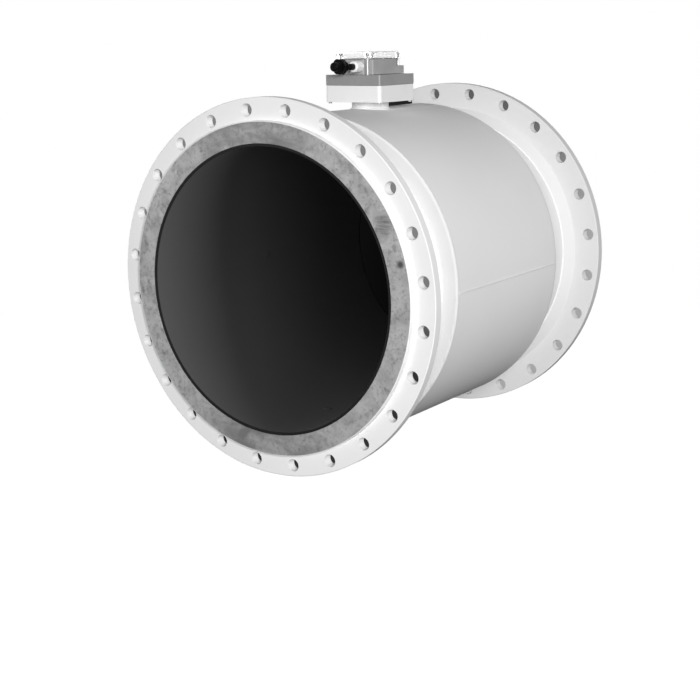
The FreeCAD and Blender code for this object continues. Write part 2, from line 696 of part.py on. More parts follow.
def yoke_screws():
    seat = yoke_outside()
    tip = seat - number("yoke_sheet") - number("seat_gap") - number("yoke_screw_reach")
    shank = radial_cylinder(number("yoke_screw_radius"), tip, seat)
    head = radial_cylinder(number("yoke_screw_head_radius"), seat, seat + number("yoke_screw_head"))
    socket = radial_cylinder(number("screw_socket_radius"), seat + number("yoke_screw_head") / 2,
                             seat + number("yoke_screw_head") + 1)
    screw = shank.fuse(head).cut(socket)
    half = number("yoke_screw_spacing") / 2
    middle = number("bolt_face_span") / 2
    lean = number("yoke_screw_angle")
    angles = (lean, 180 - lean, 180 + lean, 360 - lean)
    places = [around_axis(angle, middle + sign * half) for angle in angles for sign in (-1, 1)]
    fastener_group("yoke_screws", screw.removeSplitter(), places)


# Electrodes

def electrode(name, y, turn):
    body = new_body(name, y=y, turn=turn)
    profile = new_sketch(body, f"{name}_profile", turn=FreeCAD.Rotation(UP, -90))
    head_back = "(size.liner_bore_radius - size.seat_gap - 0.1)"
    head_front = f"({head_back} - size.electrode_head)"
    end = f"({YOKE_OUTER} + size.lead_clearance - size.seat_gap)"
    add_polygon(profile, (
        ("0", head_front),
        ("size.electrode_head_radius", head_front),
        ("size.electrode_head_radius", head_back),
        ("size.electrode_shank_radius", head_back),
        ("size.electrode_shank_radius", end),
        ("0", end),
    ))
    revolve(body, profile, f"{name}_turned")
    front = number("electrode_head_radius")
    dress(body, "Fillet", f"{name}_edge", "size.electrode_head / 3", lambda edge: (
        is_circle(edge, front) and edge.CenterOfMass.x < number("liner_bore_radius")
        - number("electrode_head")))


def electrode_fittings():
    """Bushes, disc springs and nuts: the same three pieces on every electrode."""
    gap = number("seat_gap")
    shank = number("electrode_shank_radius") + gap
    liner_outside = number("liner_bore_radius") + number("liner_wall")
    collar_seat = tube_outside() + gap
    collar_top = collar_seat + number("bush_collar")
    spring_top = collar_top + number("spring_depth")
    nut_top = spring_top + number("nut_depth")
    sleeve = radial_cylinder(number("bush_radius"), liner_outside + gap, collar_seat)
    collar = radial_cylinder(number("bush_collar_radius"), collar_seat, collar_top)
    bore = radial_cylinder(shank, liner_outside - gap, collar_top + gap)
    bush = sleeve.fuse(collar).cut(bore).removeSplitter()
    spring = disc_spring(shank, collar_top, spring_top)
    nut = hexagon_nut(number("nut_flats"), number("electrode_shank_radius") + gap / 3,
                      spring_top, nut_top)
    middle = number("bolt_face_span") / 2
    station = middle - reference_reach()
    places = [around_axis(0, middle), around_axis(180, middle), around_axis(-90, station)]
    fastener_group("electrode_bushes", bush, places)
    fastener_group("electrode_springs", spring, places)
    fastener_group("electrode_nuts", nut, places)


def disc_spring(bore, low, high):
    """A coned washer along +X."""
    rim = number("spring_radius")
    sheet = number("spring_sheet")
    corners = [
        FreeCAD.Vector(high - sheet, bore, 0),
        FreeCAD.Vector(high, bore, 0),
        FreeCAD.Vector(low + sheet, rim, 0),
        FreeCAD.Vector(low, rim, 0),
    ]
    face = Part.Face(Part.makePolygon(corners + corners[:1]))
    return face.revolve(FreeCAD.Vector(), FreeCAD.Vector(1, 0, 0), 360)


def hexagon_nut(flats, bore, low, high):
    """A hexagon nut along +X, with its corners turned off on both faces."""
    corner = flats / math.sqrt(3)
    corners = []
    for index in range(7):
        angle = math.radians(60 * index)
        corners.append(FreeCAD.Vector(low, corner * math.cos(angle), corner * math.sin(angle)))
    prism = Part.Face(Part.makePolygon(corners)).extrude(FreeCAD.Vector(high - low, 0, 0))
    blank = radial_cylinder(corner, low, high)
    slope = (corner - flats / 2) * 0.9
    circles = [edge for edge in blank.Edges if is_circle(edge, corner)]
    turned = blank.makeChamfer(slope, slope, circles)
    return prism.common(turned).cut(radial_cylinder(bore, low - 1, high + 1))


# Leads from the electrodes and coils up the neck

def lead_track():
    """The radius on which the leads run, between the yokes and the drum."""
    return yoke_outside() + number("lead_clearance") + number("lead_radius")


def lead_top():
    """The leads end just below the terminal board."""
    floor = drum_outside() + number("neck_rise") + number("base_floor")
    return floor + number("terminal_board_rise") - number("seat_gap")


def line(start, end):
    """A straight run."""
    return Part.LineSegment(start, end).toShape()


def quarter_turn(start, into, out, radius):
    """A bend from one direction to another that is square to it, and where it ends."""
    centre = start + out * radius
    middle = centre + (into - out) * (radius * math.sqrt(0.5))
    end = centre + into * radius
    return Part.Arc(start, middle, end).toShape(), end


def hoop(start_angle, end_angle, along):
    """A run round the pipe, in the plane at this distance along it."""
    angles = (start_angle, (start_angle + end_angle) / 2, end_angle)
    points = []
    for angle in angles:
        turn = math.radians(angle)
        points.append(FreeCAD.Vector(math.cos(turn), 0, math.sin(turn)) * lead_track())
    return Part.Arc(*[point + FreeCAD.Vector(0, along, 0) for point in points]).toShape()


def lead(name, edges, start, direction):
    """A round lead along the path."""
    outline = Part.Wire([Part.makeCircle(number("lead_radius"), start, direction)])
    piece = doc.addObject("Part::Feature", name)
    piece.Label = name
    piece.Shape = Part.Wire(edges).makePipeShell([outline], True, True)
    SUB_PARTS.append(piece)


def signal_leads():
    """From the end of each side electrode round to the top and straight up the neck."""
    middle = number("bolt_face_span") / 2
    track = lead_track()
    turn = number("lead_turn")
    across = number("lead_offset") + turn
    height = math.sqrt((track + turn) ** 2 - across ** 2)
    leave = math.degrees(math.atan2(height, across))
    for name, side in (("right_signal_lead", 1), ("left_signal_lead", -1)):
        first, last = (0, leave) if side == 1 else (180, 180 - leave)
        centre = FreeCAD.Vector(side * across, middle, height)
        off_pipe = FreeCAD.Vector(side * across, 0, height) * (track / (track + turn))
        off_pipe.y = middle
        upright = FreeCAD.Vector(side * number("lead_offset"), middle, height)
        outward = (off_pipe - centre) + (upright - centre)
        bend = Part.Arc(off_pipe, centre + outward.normalize() * turn, upright).toShape()
        top = FreeCAD.Vector(upright.x, middle, lead_top())
        edges = [hoop(first, last, middle), bend, line(upright, top)]
        lead(name, edges, FreeCAD.Vector(side * track, middle, 0), UP)


def long_leads():
    """From below, round the pipe, then along it to the neck and up."""
    middle = number("bolt_face_span") / 2
    track = lead_track()
    turn = number("lead_turn")
    pitch = number("lead_pitch")
    reach = (number("coil_length") + number("coil_window_length")) / 4
    along_pipe = FreeCAD.Vector(0, 1, 0)
    far = math.sqrt(track ** 2 + turn ** 2)
    leave = math.acos(number("lead_offset") / far) - math.atan(turn / track)
    for name, station, side, target in (
        ("lower_coil_lead", middle - reach, 1, middle - 2 * pitch),
        ("reference_lead", middle - reference_reach(), -1, middle - pitch),
    ):
        last = math.degrees(leave) if side == 1 else -180 - math.degrees(leave)
        off_hoop = FreeCAD.Vector(side * math.cos(leave), 0, math.sin(leave)) * track
        off_hoop.y = station
        forward = FreeCAD.Vector(-side * math.sin(leave), 0, math.cos(leave))
        first_bend, place = quarter_turn(off_hoop, forward, along_pipe, turn)
        before_neck = FreeCAD.Vector(place.x, target - turn / 2, place.z)
        second_bend, upright = quarter_turn(before_neck, along_pipe, UP, turn / 2)
        top = FreeCAD.Vector(upright.x, upright.y, lead_top())
        edges = [hoop(-90, last, station), first_bend, line(place, before_neck)]
        edges += [second_bend, line(upright, top)]
        lead(name, edges, FreeCAD.Vector(0, station, -track), FreeCAD.Vector(side, 0, 0))


def upper_coil_lead():
    """From the crown of the upper coil, back along the pipe to the neck and up."""
    reach = (number("coil_length") + number("coil_window_length")) / 4
    middle = number("bolt_face_span") / 2
    turn = number("lead_turn") / 2
    backwards = FreeCAD.Vector(0, -1, 0)
    coil_outside = tube_outside() + 2 * number("seat_gap") + number("pad_depth")
    coil_outside += number("coil_depth")
    start = FreeCAD.Vector(number("lead_offset"), middle + reach, coil_outside + number("seat_gap"))
    below = FreeCAD.Vector(start.x, start.y, lead_track() - turn)
    first_bend, place = quarter_turn(below, UP, backwards, turn)
    before_neck = FreeCAD.Vector(place.x, middle + 2 * number("lead_pitch") + turn, place.z)
    second_bend, upright = quarter_turn(before_neck, backwards, UP, turn)
    top = FreeCAD.Vector(upright.x, upright.y, lead_top())
    edges = [line(start, below), first_bend, line(place, before_neck)]
    edges += [second_bend, line(upright, top)]
    lead("upper_coil_lead", edges, start, UP)


# Neck

def neck():
    foot = f"({DRUM_OUTER} - size.neck_foot)"
    height = "(size.neck_foot + size.neck_rise - size.neck_gasket_depth)"
    inner = "size.neck_radius - size.neck_wall"
    body = new_body("neck", y=MIDDLE, z=foot)
    profile = new_sketch(body, "neck_profile", "XZ_Plane")
    add_polygon(profile, (
        (inner, "0"),
        ("size.neck_radius", "0"),
        ("size.neck_radius", height),
        ("size.neck_throat_radius", height),
        ("size.neck_throat_radius", f"{height} - size.neck_rim"),
        (inner, f"{height} - size.neck_rim"),
    ))
    revolve(body, profile, "neck_turned")
    holes = new_sketch(body, "neck_threads", level=height)
    add_neck_screw_circles(holes, "size.screw_radius + size.seat_gap / 3")
    pocket(body, holes, "neck_tapped", "size.neck_rim")

    gasket = new_body("neck_gasket", y=MIDDLE, z=f"{BASE_BOTTOM} - size.neck_gasket_depth")
    ring = new_sketch(gasket, "neck_gasket_outline")
    add_circle(ring, "0", "0", "size.neck_radius")
    add_circle(ring, "0", "0", "size.neck_throat_radius")
    add_neck_screw_circles(ring, "size.screw_radius + size.seat_gap")
    pad(gasket, ring, "neck_gasket_sheet", "size.neck_gasket_depth")


def add_neck_screw_circles(sketch, radius):
    """The four screws between the base and the neck."""
    diagonal = "size.neck_screw_circle_radius * sqrt(0.5)"
    add_four_circles(sketch, diagonal, diagonal, radius)


# Transmitter: base, plate, upper housing and lid

def case_outline(body, name, height, corner):
    """The square block that base and plate are made from."""
    outline = new_sketch(body, f"{name}_outline")
    add_centred_rectangle(outline, "size.case_side", "size.case_side")
    pad(body, outline, f"{name}_block", height)
    dress(body, "Fillet", f"{name}_corners", corner, is_upright)


BASE_SCREW = "(size.case_side / 2 - size.base_screw_inset)"
CASE_INSIDE = "(size.case_side - 2 * size.case_wall)"


def transmitter_base():
    body = new_body("transmitter_base", y=MIDDLE, z=BASE_BOTTOM)
    case_outline(body, "transmitter_base", "size.base_height", "size.base_corner")
    inside = new_sketch(body, "base_inside", level="size.base_height")
    add_centred_rectangle(inside, CASE_INSIDE, CASE_INSIDE)
    pocket(body, inside, "base_hollow", "size.base_height - size.base_floor")
    posts = new_sketch(body, "base_posts")
    add_four_circles(posts, BASE_SCREW, BASE_SCREW, "size.base_post_radius")
    pad(body, posts, "base_posts_raised", "size.base_height")
    stands = new_sketch(body, "board_stands")
    stand_x = "(size.terminal_board_x / 2 - size.board_post_radius)"
    stand_y = "(size.terminal_board_y / 2 - size.board_post_radius)"
    add_four_circles(stands, stand_x, stand_y, "size.board_post_radius")
    pad(body, stands, "board_stands_raised",
        "size.base_floor + size.terminal_board_rise - size.seat_gap / 3")
    holes = new_sketch(body, "base_screw_holes", level="size.base_height")
    add_four_circles(holes, BASE_SCREW, BASE_SCREW, "size.screw_radius + size.seat_gap")
    pocket(body, holes, "base_screw_drilled")
    centre = new_sketch(body, "base_centre_holes", level="size.base_floor")
    add_circle(centre, "0", "0", "size.neck_throat_radius")
    add_neck_screw_circles(centre, "size.screw_radius + size.seat_gap")
    pocket(body, centre, "base_centre_cut", "size.base_floor")


def flat_gasket(name, z):
    body = new_body(name, y=MIDDLE, z=z)
    outline = new_sketch(body, f"{name}_outline")
    side = "(size.case_side - 2 * size.gasket_inset)"
    add_centred_rectangle(outline, side, side)
    add_centred_rectangle(outline, CASE_INSIDE, CASE_INSIDE)
    pad(body, outline, f"{name}_sheet", "size.gasket_depth")
    inner = number("case_side") / 2 - number("case_wall")
    dress(body, "Fillet", f"{name}_corners", "size.base_corner",
          lambda edge: is_upright(edge) and abs(edge.CenterOfMass.x) > inner + 1)


def adapter_plate():
    body = new_body("adapter_plate", y=MIDDLE, z=PLATE_BOTTOM)
    case_outline(body, "adapter_plate", "size.plate_height", "size.plate_corner")
    inside = new_sketch(body, "plate_inside")
    add_centred_rectangle(inside, CASE_INSIDE, CASE_INSIDE)
    pocket(body, inside, "plate_hollow", "size.plate_height - size.plate_top", upwards=True)
    posts = new_sketch(body, "plate_posts")
    add_four_circles(posts, BASE_SCREW, BASE_SCREW, "size.base_post_radius")
    pad(body, posts, "plate_posts_raised", "size.plate_height")
    bosses = new_sketch(body, "lid_screw_bosses", level="size.plate_height")
    add_four_circles(bosses, "size.lid_screw_x", "size.lid_screw_y", "size.base_post_radius")
    pad(body, bosses, "lid_screw_bosses_raised", "size.plate_top + size.screw_reach", backwards=True)
    opening = new_sketch(body, "plate_opening", level="size.plate_height")
    add_centred_rectangle(opening, "size.plate_opening_x", "size.plate_opening_y")
    pocket(body, opening, "plate_opening_cut", "size.plate_top")
    threads = new_sketch(body, "lid_screw_threads", level="size.plate_height")
    add_four_circles(threads, "size.lid_screw_x", "size.lid_screw_y",
                     "size.lid_screw_radius + size.seat_gap / 3")
    pocket(body, threads, "lid_screw_tapped", "size.plate_top + size.screw_reach - 1")
    lower = new_sketch(body, "base_screw_threads")
    add_four_circles(lower, BASE_SCREW, BASE_SCREW, "size.screw_radius + size.seat_gap / 3")
    pocket(body, lower, "base_screw_tapped", "size.screw_reach + 1", upwards=True)


def electronics_housing():
    body = new_body("electronics_housing", y=MIDDLE, z=HOUSING_BOTTOM)
    outline = new_sketch(body, "housing_outline")
    add_cross(outline, "0")
    pad(body, outline, "housing_block", "size.housing_height")
    shelf = new_sketch(body, "rear_shelf_outline")
    add_rectangle(shelf, "-size.housing_x / 2", "0", "size.housing_x / 2", "size.housing_y / 2")
    pad(body, shelf, "rear_shelf_block", "size.rear_shelf")
    dress(body, "Fillet", "housing_edges", "size.housing_round", is_upright)
    inside = new_sketch(body, "housing_inside", level="size.housing_height")
    add_cross(inside, "size.housing_wall")
    pocket(body, inside, "housing_hollow", "size.housing_height - size.housing_floor")
    posts = new_sketch(body, "board_posts")
    add_four_circles(posts, "(size.board_x / 2 - size.board_post_inset)",
                     "(size.board_y / 2 - size.board_post_inset)", "size.board_post_radius")
    pad(body, posts, "board_posts_raised", "size.housing_floor + size.board_post_height")
    boss = new_sketch(body, "gland_boss")
    side = "(size.housing_x / 2 - size.notch_x - size.housing_wall / 2)"
    front = "size.housing_y / 2 - size.housing_wall"
    add_rectangle(boss, f"-{side}", f"-({front} + size.housing_wall / 2)", side,
                  f"-({front} - size.gland_boss)")
    pad(body, boss, "gland_boss_raised", "size.gland_height + size.gland_boss_rise")
    opening = new_sketch(body, "housing_opening", level="size.housing_floor")
    add_centred_rectangle(opening, "size.plate_opening_x", "size.plate_opening_y / 2")
    pocket(body, opening, "housing_opening_cut", "size.housing_floor")
    holes = new_sketch(body, "rear_screw_holes", level="size.rear_shelf")
    for sign in ("", "-"):
        add_circle(holes, f"{sign}size.lid_screw_x", "size.lid_screw_y",
                   "size.lid_screw_radius + size.seat_gap")
    pocket(body, holes, "rear_screws_drilled", "size.rear_shelf")
    gland_holes = new_sketch(body, "gland_holes", "XZ_Plane", f"{front} - size.gland_boss")
    height = "size.gland_height - size.gasket_depth"
    add_circle(gland_holes, "-size.black_gland_x", height,
               "size.black_thread_radius + size.seat_gap")
    add_circle(gland_holes, "size.metal_gland_x", height,
               "size.metal_thread_radius + size.seat_gap")
    add_circle(gland_holes, "-size.seal_screw_x", "size.seal_screw_height - size.gasket_depth",
               "size.seal_screw_shank_radius + size.seat_gap / 3")
    pocket(body, gland_holes, "gland_holes_drilled", "size.housing_wall + size.gland_boss",
           upwards=True)


def cross_gasket(name, z, depth):
    """A seal that follows the notched wall of the upper housing."""
    body = new_body(name, y=MIDDLE, z=z)
    outline = new_sketch(body, f"{name}_outline")
    add_cross(outline, "size.gasket_inset")
    add_cross(outline, "size.housing_wall")
    pad(body, outline, f"{name}_sheet", depth)


def clear_lid():
    body = new_body("clear_lid", y=MIDDLE, z=LID_BOTTOM)
    outline = new_sketch(body, "lid_outline")
    add_centred_rectangle(outline, "size.housing_x", "size.housing_y")
    pad(body, outline, "lid_block", "size.lid_height")
    dress(body, "Fillet", "lid_corners", "size.lid_corner", is_upright)
    top = number("lid_height")
    dress(body, "Fillet", "lid_top_edge", "size.lid_top_round",
          lambda edge: abs(edge.BoundBox.ZMin - top) < 1e-4)
    inside = new_sketch(body, "lid_inside")
    wall = "2 * size.lid_wall"
    add_centred_rectangle(inside, f"(size.housing_x - {wall})", f"(size.housing_y - {wall})")
    pocket(body, inside, "lid_hollow", "size.lid_height - size.lid_wall", upwards=True)
    inner = number("housing_x") / 2 - number("lid_wall")
    dress(body, "Fillet", "lid_inner_corners", "size.lid_corner - size.lid_wall",
          lambda edge: is_upright(edge) and abs(abs(edge.CenterOfMass.x) - inner) < 1e-4)
    posts = new_sketch(body, "lid_posts")
    add_four_circles(posts, "size.lid_screw_x", "size.lid_screw_y", "size.lid_post_radius")
    pad(body, posts, "lid_posts_raised", "size.lid_height - size.lid_top_round")
    sinks = new_sketch(body, "lid_screw_sinks", level="size.lid_height")
    add_four_circles(sinks, "size.lid_screw_x", "size.lid_screw_y",
                     "size.lid_screw_head_radius + size.seat_gap")
    pocket(body, sinks, "lid_sunk", "size.lid_height - size.lid_shelf")
    holes = new_sketch(body, "lid_screw_holes", level="size.lid_height")
    add_four_circles(holes, "size.lid_screw_x", "size.lid_screw_y",
                     "size.lid_screw_radius + size.seat_gap")
    pocket(body, holes, "lid_drilled")


def screws(name, x, y, tip, seat, shank, head, head_height, upside_down=False):
    """A group of four screws along Z: the shanks, the heads and a socket in each head."""
    body = new_body(name, y=MIDDLE, z=seat)
    shanks = new_sketch(body, f"{name}_shanks")
    add_four_circles(shanks, x, y, shank)
    pad(body, shanks, f"{name}_shanks_raised", tip, backwards=not upside_down)
    heads = new_sketch(body, f"{name}_heads")
    add_four_circles(heads, x, y, head)
    pad(body, heads, f"{name}_heads_raised", head_height, backwards=upside_down)
    face = f"-{head_height}" if upside_down else head_height
    sockets = new_sketch(body, f"{name}_sockets", level=face)
    add_four_circles(sockets, x, y, "size.screw_socket_radius")
    pocket(body, sockets, f"{name}_sockets_cut", "size.screw_socket_depth", upwards=upside_down)


def case_screws():
    diagonal = "size.neck_screw_circle_radius * sqrt(0.5)"
    into_neck = "size.base_floor + size.neck_gasket_depth + size.neck_rim - 1"
    screws("neck_screws", diagonal, diagonal, into_neck, f"{BASE_BOTTOM} + size.base_floor",
           "size.screw_radius", "size.screw_head_radius", "size.screw_head")
    into_plate = "size.base_height + size.gasket_depth + size.screw_reach"
    screws("base_screws", BASE_SCREW, BASE_SCREW, into_plate, BASE_BOTTOM,
           "size.screw_radius", "size.screw_head_radius", "size.screw_head", upside_down=True)
    above_plate = "size.gasket_depth + size.housing_height + size.seal_depth + size.lid_shelf"
    screws("lid_screws", "size.lid_screw_x", "size.lid_screw_y",
           f"{above_plate} + size.plate_top + size.screw_reach - 2",
           f"{LID_BOTTOM} + size.lid_shelf",
           "size.lid_screw_radius", "size.lid_screw_head_radius", "size.lid_screw_head")


# Electronics

def block(name, x_size, y_size, height, z, y=MIDDLE):
    """A plain rectangular piece, centred across the meter."""
    body = new_body(name, y=y, z=z)
    outline = new_sketch(body, f"{name}_outline")
    add_centred_rectangle(outline, x_size, y_size)
    pad(body, outline, f"{name}_block", height)
    return body


def electronics():
    board_seat = f"{HOUSING_BOTTOM} + size.housing_floor + size.board_post_height"
    block("main_board", "size.board_x", "size.board_y", "size.board_depth", board_seat)
    display_seat = f"{board_seat} + size.board_depth"
    block("display_module", "size.display_x", "size.display_y", "size.display_depth", display_seat)
    bezel_top = "size.display_depth + size.glass_sink"
    bezel = new_body("display_bezel", y=MIDDLE, z=f"{display_seat} + {bezel_top} - size.bezel_depth")
    face = new_sketch(bezel, "bezel_outline")
    add_centred_rectangle(face, "(size.display_x + 2 * size.bezel_margin)",
                          "(size.display_y + 2 * size.bezel_margin)")
    add_centred_rectangle(face, "(size.display_x + 2 * size.seat_gap)",
                          "(size.display_y + 2 * size.seat_gap)")
    pad(bezel, face, "bezel_sheet", "size.bezel_depth")
    skirt = new_sketch(bezel, "bezel_legs")
    leg_x = "(size.display_x / 2 + size.bezel_margin - size.bezel_depth - size.seat_gap)"
    leg_y = "(size.display_y / 2 + size.bezel_margin - size.bezel_depth - size.seat_gap)"
    add_four_circles(skirt, leg_x, leg_y, "size.bezel_depth")
    pad(bezel, skirt, "bezel_legs_raised", f"{bezel_top} - size.bezel_depth - size.seat_gap / 3",
        backwards=True)


def terminals():
    floor = f"{BASE_BOTTOM} + size.base_floor"
    rise = f"{floor} + size.terminal_board_rise"
    block("terminal_board", "size.terminal_board_x", "size.terminal_board_y", "size.board_depth", rise)
    body = new_body("terminal_blocks", y=MIDDLE, z=f"{rise} + size.board_depth")
    outline = new_sketch(body, "terminal_blocks_outline")
    for sign in ("-", ""):
        middle = f"{sign}size.terminal_block_offset"
        add_rectangle(outline, "-size.terminal_block_x / 2", f"{middle} - size.terminal_block_y / 2",
                      "size.terminal_block_x / 2", f"{middle} + size.terminal_block_y / 2")
    pad(body, outline, "terminal_blocks_raised", "size.terminal_block_height")
    entries = new_sketch(body, "terminal_entries", level="size.terminal_block_height")
    count = int(number("terminal_count"))
    for sign in ("-", ""):
        for index in range(count):
            shift = f"size.terminal_block_x * ({index} + 0.5) / {count} - size.terminal_block_x / 2"
            add_circle(entries, shift, f"{sign}size.terminal_block_offset",
                       "size.terminal_entry_radius")
    pocket(body, entries, "terminal_entries_cut", "size.terminal_block_height / 2")


def batteries():
    """Two cells, one on each side of the terminal board, each held by two cradles."""
    floor = f"({BASE_BOTTOM} + size.base_floor)"
    axis_height = "(size.cradle_wall + size.seat_gap / 3 + size.cell_radius)"
    cells = new_body("battery_cells", y=f"{MIDDLE} - size.cell_length / 2",
                     z=f"{floor} + {axis_height}", turn=NO_TURN)
    ends = new_sketch(cells, "cell_ends", "XZ_Plane")
    for sign in ("-", ""):
        add_circle(ends, f"{sign}size.cell_offset", "0", "size.cell_radius")
    pad(cells, ends, "cells_raised", "size.cell_length", backwards=True)
    rim = number("cell_radius")
    dress(cells, "Fillet", "cell_edges", "size.cell_radius / 10", lambda edge: is_circle(edge, rim))

    cradles = new_body("battery_cradles", y=f"{MIDDLE} - size.cradle_spacing / 2 - size.cradle_width / 2",
                       z=floor)
    shape = new_sketch(cradles, "cradle_outline", "XZ_Plane")
    half = "(size.cell_radius + size.cradle_wall)"
    for sign in ("-", ""):
        centre = f"{sign}size.cell_offset"
        add_rectangle(shape, f"{centre} - {half}", "0", f"{centre} + {half}", axis_height)
    pad(cradles, shape, "cradle_bars", "size.cradle_spacing + size.cradle_width", backwards=True)
    channel = new_sketch(cradles, "cradle_channel", "XZ_Plane")
    for sign in ("-", ""):
        add_circle(channel, f"{sign}size.cell_offset", axis_height, "size.cell_radius + size.seat_gap / 3")
    pocket(cradles, channel, "cradle_channel_cut", "size.case_side")
    between = new_sketch(cradles, "cradle_gap", "YZ_Plane")
    add_rectangle(between, "size.cradle_width", "0", "size.cradle_spacing", "size.case_side")
    pocket(cradles, between, "cradle_gap_cut", "size.case_side", midplane=True)


# Glands in the front wall of the upper housing

def gland_blank(name, x, start=HOUSING_FRONT, height=GLAND_AXIS):
    """A body whose +Y points out of the front wall, on the gland's axis."""
    return new_body(name, x=x, y=start, z=height, turn=ALONG_FLOW_REVERSED)


def round_nose(body, name, size):
    """Round the outer rim at the far end of a turned piece."""
    circles = [edge for edge in body.Tip.Shape.Edges if isinstance(edge.Curve, Part.Circle)]
    reach = max(edge.CenterOfMass.y for edge in circles)
    widest = max(edge.Curve.Radius for edge in circles if edge.CenterOfMass.y > reach - 1e-4)
    dress(body, "Fillet", name, size, lambda edge: is_circle(edge, widest, "y", reach))


def grip_grooves(body, name, radius, groove_radius, count, length):
    """Grooves along a nut, spread round it."""
    outline = new_sketch(body, f"{name}_groove", "XZ_Plane")
    add_circle(outline, radius, "0", groove_radius)
    cut = pocket(body, outline, f"{name}_groove_cut", length)
    polar_pattern(body, cut, f"{name}_grooves", "Y_Axis", count)


def gland_body(name, x, thread, front_depth, spigot):
    """Thread through the wall, a collar outside and a spigot for the nut, bored through."""
    body = gland_blank(name, x)
    profile = new_sketch(body, f"{name}_profile")
    bore = f"({thread} - size.gland_seat)"
    back = "-(size.housing_wall + size.gland_boss + size.gland_stem)"
    add_polygon(profile, (
        (bore, back),
        (thread, back),
        (thread, "0"),
        ("size.gland_collar_radius", "0"),
        ("size.gland_collar_radius", front_depth),
        (thread, front_depth),
        (thread, f"{front_depth} + {spigot}"),
        (bore, f"{front_depth} + {spigot}"),
    ))
    revolve(body, profile, f"{name}_turned")
    return body


def gland_nut(name, x, thread, front_depth, radius, depth, mouth, mouth_depth, nose_round):
    """The clamping nut: it turns on the spigot, and a lip holds the closing piece."""
    nut = gland_blank(name, x, start=f"{HOUSING_FRONT} - {front_depth} - size.seat_gap")
    profile = new_sketch(nut, f"{name}_profile")
    bore = f"({thread} + size.running_gap)"
    add_polygon(profile, (
        (bore, "0"),
        (radius, "0"),
        (radius, depth),
        (mouth, depth),
        (mouth, f"{depth} - {mouth_depth}"),
        (bore, f"{depth} - {mouth_depth}"),
    ))
    revolve(nut, profile, f"{name}_turned")
    round_nose(nut, f"{name}_nose", nose_round)
    return nut


def closing_piece(name, x, stem, front_depth, shoulder, nose, reach, end_round):
    """A stem in the gland's bore, and a nose that fills the mouth of the nut."""
    body = gland_blank(name, x)
    profile = new_sketch(body, f"{name}_profile")
    add_polygon(profile, (
        ("0", "-size.housing_wall"),
        (stem, "-size.housing_wall"),
        (stem, f"{front_depth} + {shoulder}"),
        (nose, f"{front_depth} + {shoulder}"),
        (nose, f"{front_depth} + {reach}"),
        ("0", f"{front_depth} + {reach}"),
    ))
    revolve(body, profile, f"{name}_turned")
    round_nose(body, f"{name}_end", end_round)


def black_gland():
    x = "-size.black_gland_x"
    thread = "size.black_thread_radius"
    front_depth = "(size.black_collar_depth + size.black_hex_depth)"
    spigot = "size.black_nut_depth / 2"
    body = gland_body("black_gland_body", x, thread, front_depth, spigot)
    blank = new_sketch(body, "black_hex_blank", "XZ_Plane", "-size.black_collar_depth")
    add_circle(blank, "0", "0", "size.black_hex_radius")
    add_circle(blank, "0", "0", "(size.gland_collar_radius - 1)")
    pad(body, blank, "black_hex_collar", "size.black_hex_depth", backwards=True)
    flats = new_sketch(body, "black_hex_flats", "XZ_Plane", "-size.black_collar_depth")
    add_circle(flats, "0", "0", "size.black_hex_flats")
    add_hexagon(flats, "size.black_hex_flats")
    pocket(body, flats, "black_hex_milled", "size.black_hex_depth")
    nut = gland_nut("black_gland_nut", x, thread, front_depth, "size.black_nut_radius",
                    "size.black_nut_depth", "size.black_nut_mouth_radius",
                    "2 * size.black_nut_round", "size.black_nut_round")
    grip_grooves(nut, "black_nut", "size.black_nut_radius", "size.black_groove_radius",
                 "size.black_groove_count", "size.black_nut_depth - 1.6 * size.black_nut_round")
    closing_piece("black_gland_plug", x, f"({thread} - size.gland_seat - size.seat_gap / 3)",
                  front_depth, f"{spigot} + size.seat_gap",
                  "(size.black_nut_mouth_radius - size.seat_gap)",
                  "size.black_nut_depth + size.seat_gap", "size.black_nut_round / 3")


def metal_gland():
    x = "size.metal_gland_x"
    thread = "size.metal_thread_radius"
    front_depth = "size.metal_collar_depth"
    spigot = "size.metal_nut_depth * 0.7"
    gland_body("metal_gland_body", x, thread, front_depth, spigot)
    nut = gland_nut("metal_gland_nut", x, thread, front_depth, "size.metal_nut_radius",
                    "size.metal_nut_depth", "(size.metal_plug_radius + size.seat_gap)",
                    "size.metal_nut_depth * 0.15", "size.metal_nut_round")
    grip_grooves(nut, "metal_nut", "size.metal_nut_radius", "size.metal_groove_radius",
                 "size.metal_groove_count", "size.metal_nut_depth - 2 * size.metal_nut_round")
    closing_piece("metal_gland_plug", x, f"({thread} - size.gland_seat - size.seat_gap / 3)",
                  front_depth, f"{spigot} + size.seat_gap", "size.metal_plug_radius",
                  "size.metal_nut_depth + size.metal_plug_reach", "size.metal_plug_round")


def front_seal_screw():
    body = gland_blank("front_seal_screw", "-size.seal_screw_x",
                       height=f"{PLATE_TOP} + size.seal_screw_height")
    profile = new_sketch(body, "seal_screw_profile")
    tip = "-(size.housing_wall + size.gland_boss / 2)"
    add_polygon(profile, (
        ("0", tip),
        ("size.seal_screw_shank_radius", tip),
        ("size.seal_screw_shank_radius", "0"),
        ("size.seal_screw_radius", "0"),
        ("size.seal_screw_radius", "size.seal_screw_head"),
        ("0", "size.seal_screw_head"),
    ))
    revolve(body, profile, "seal_screw_turned")


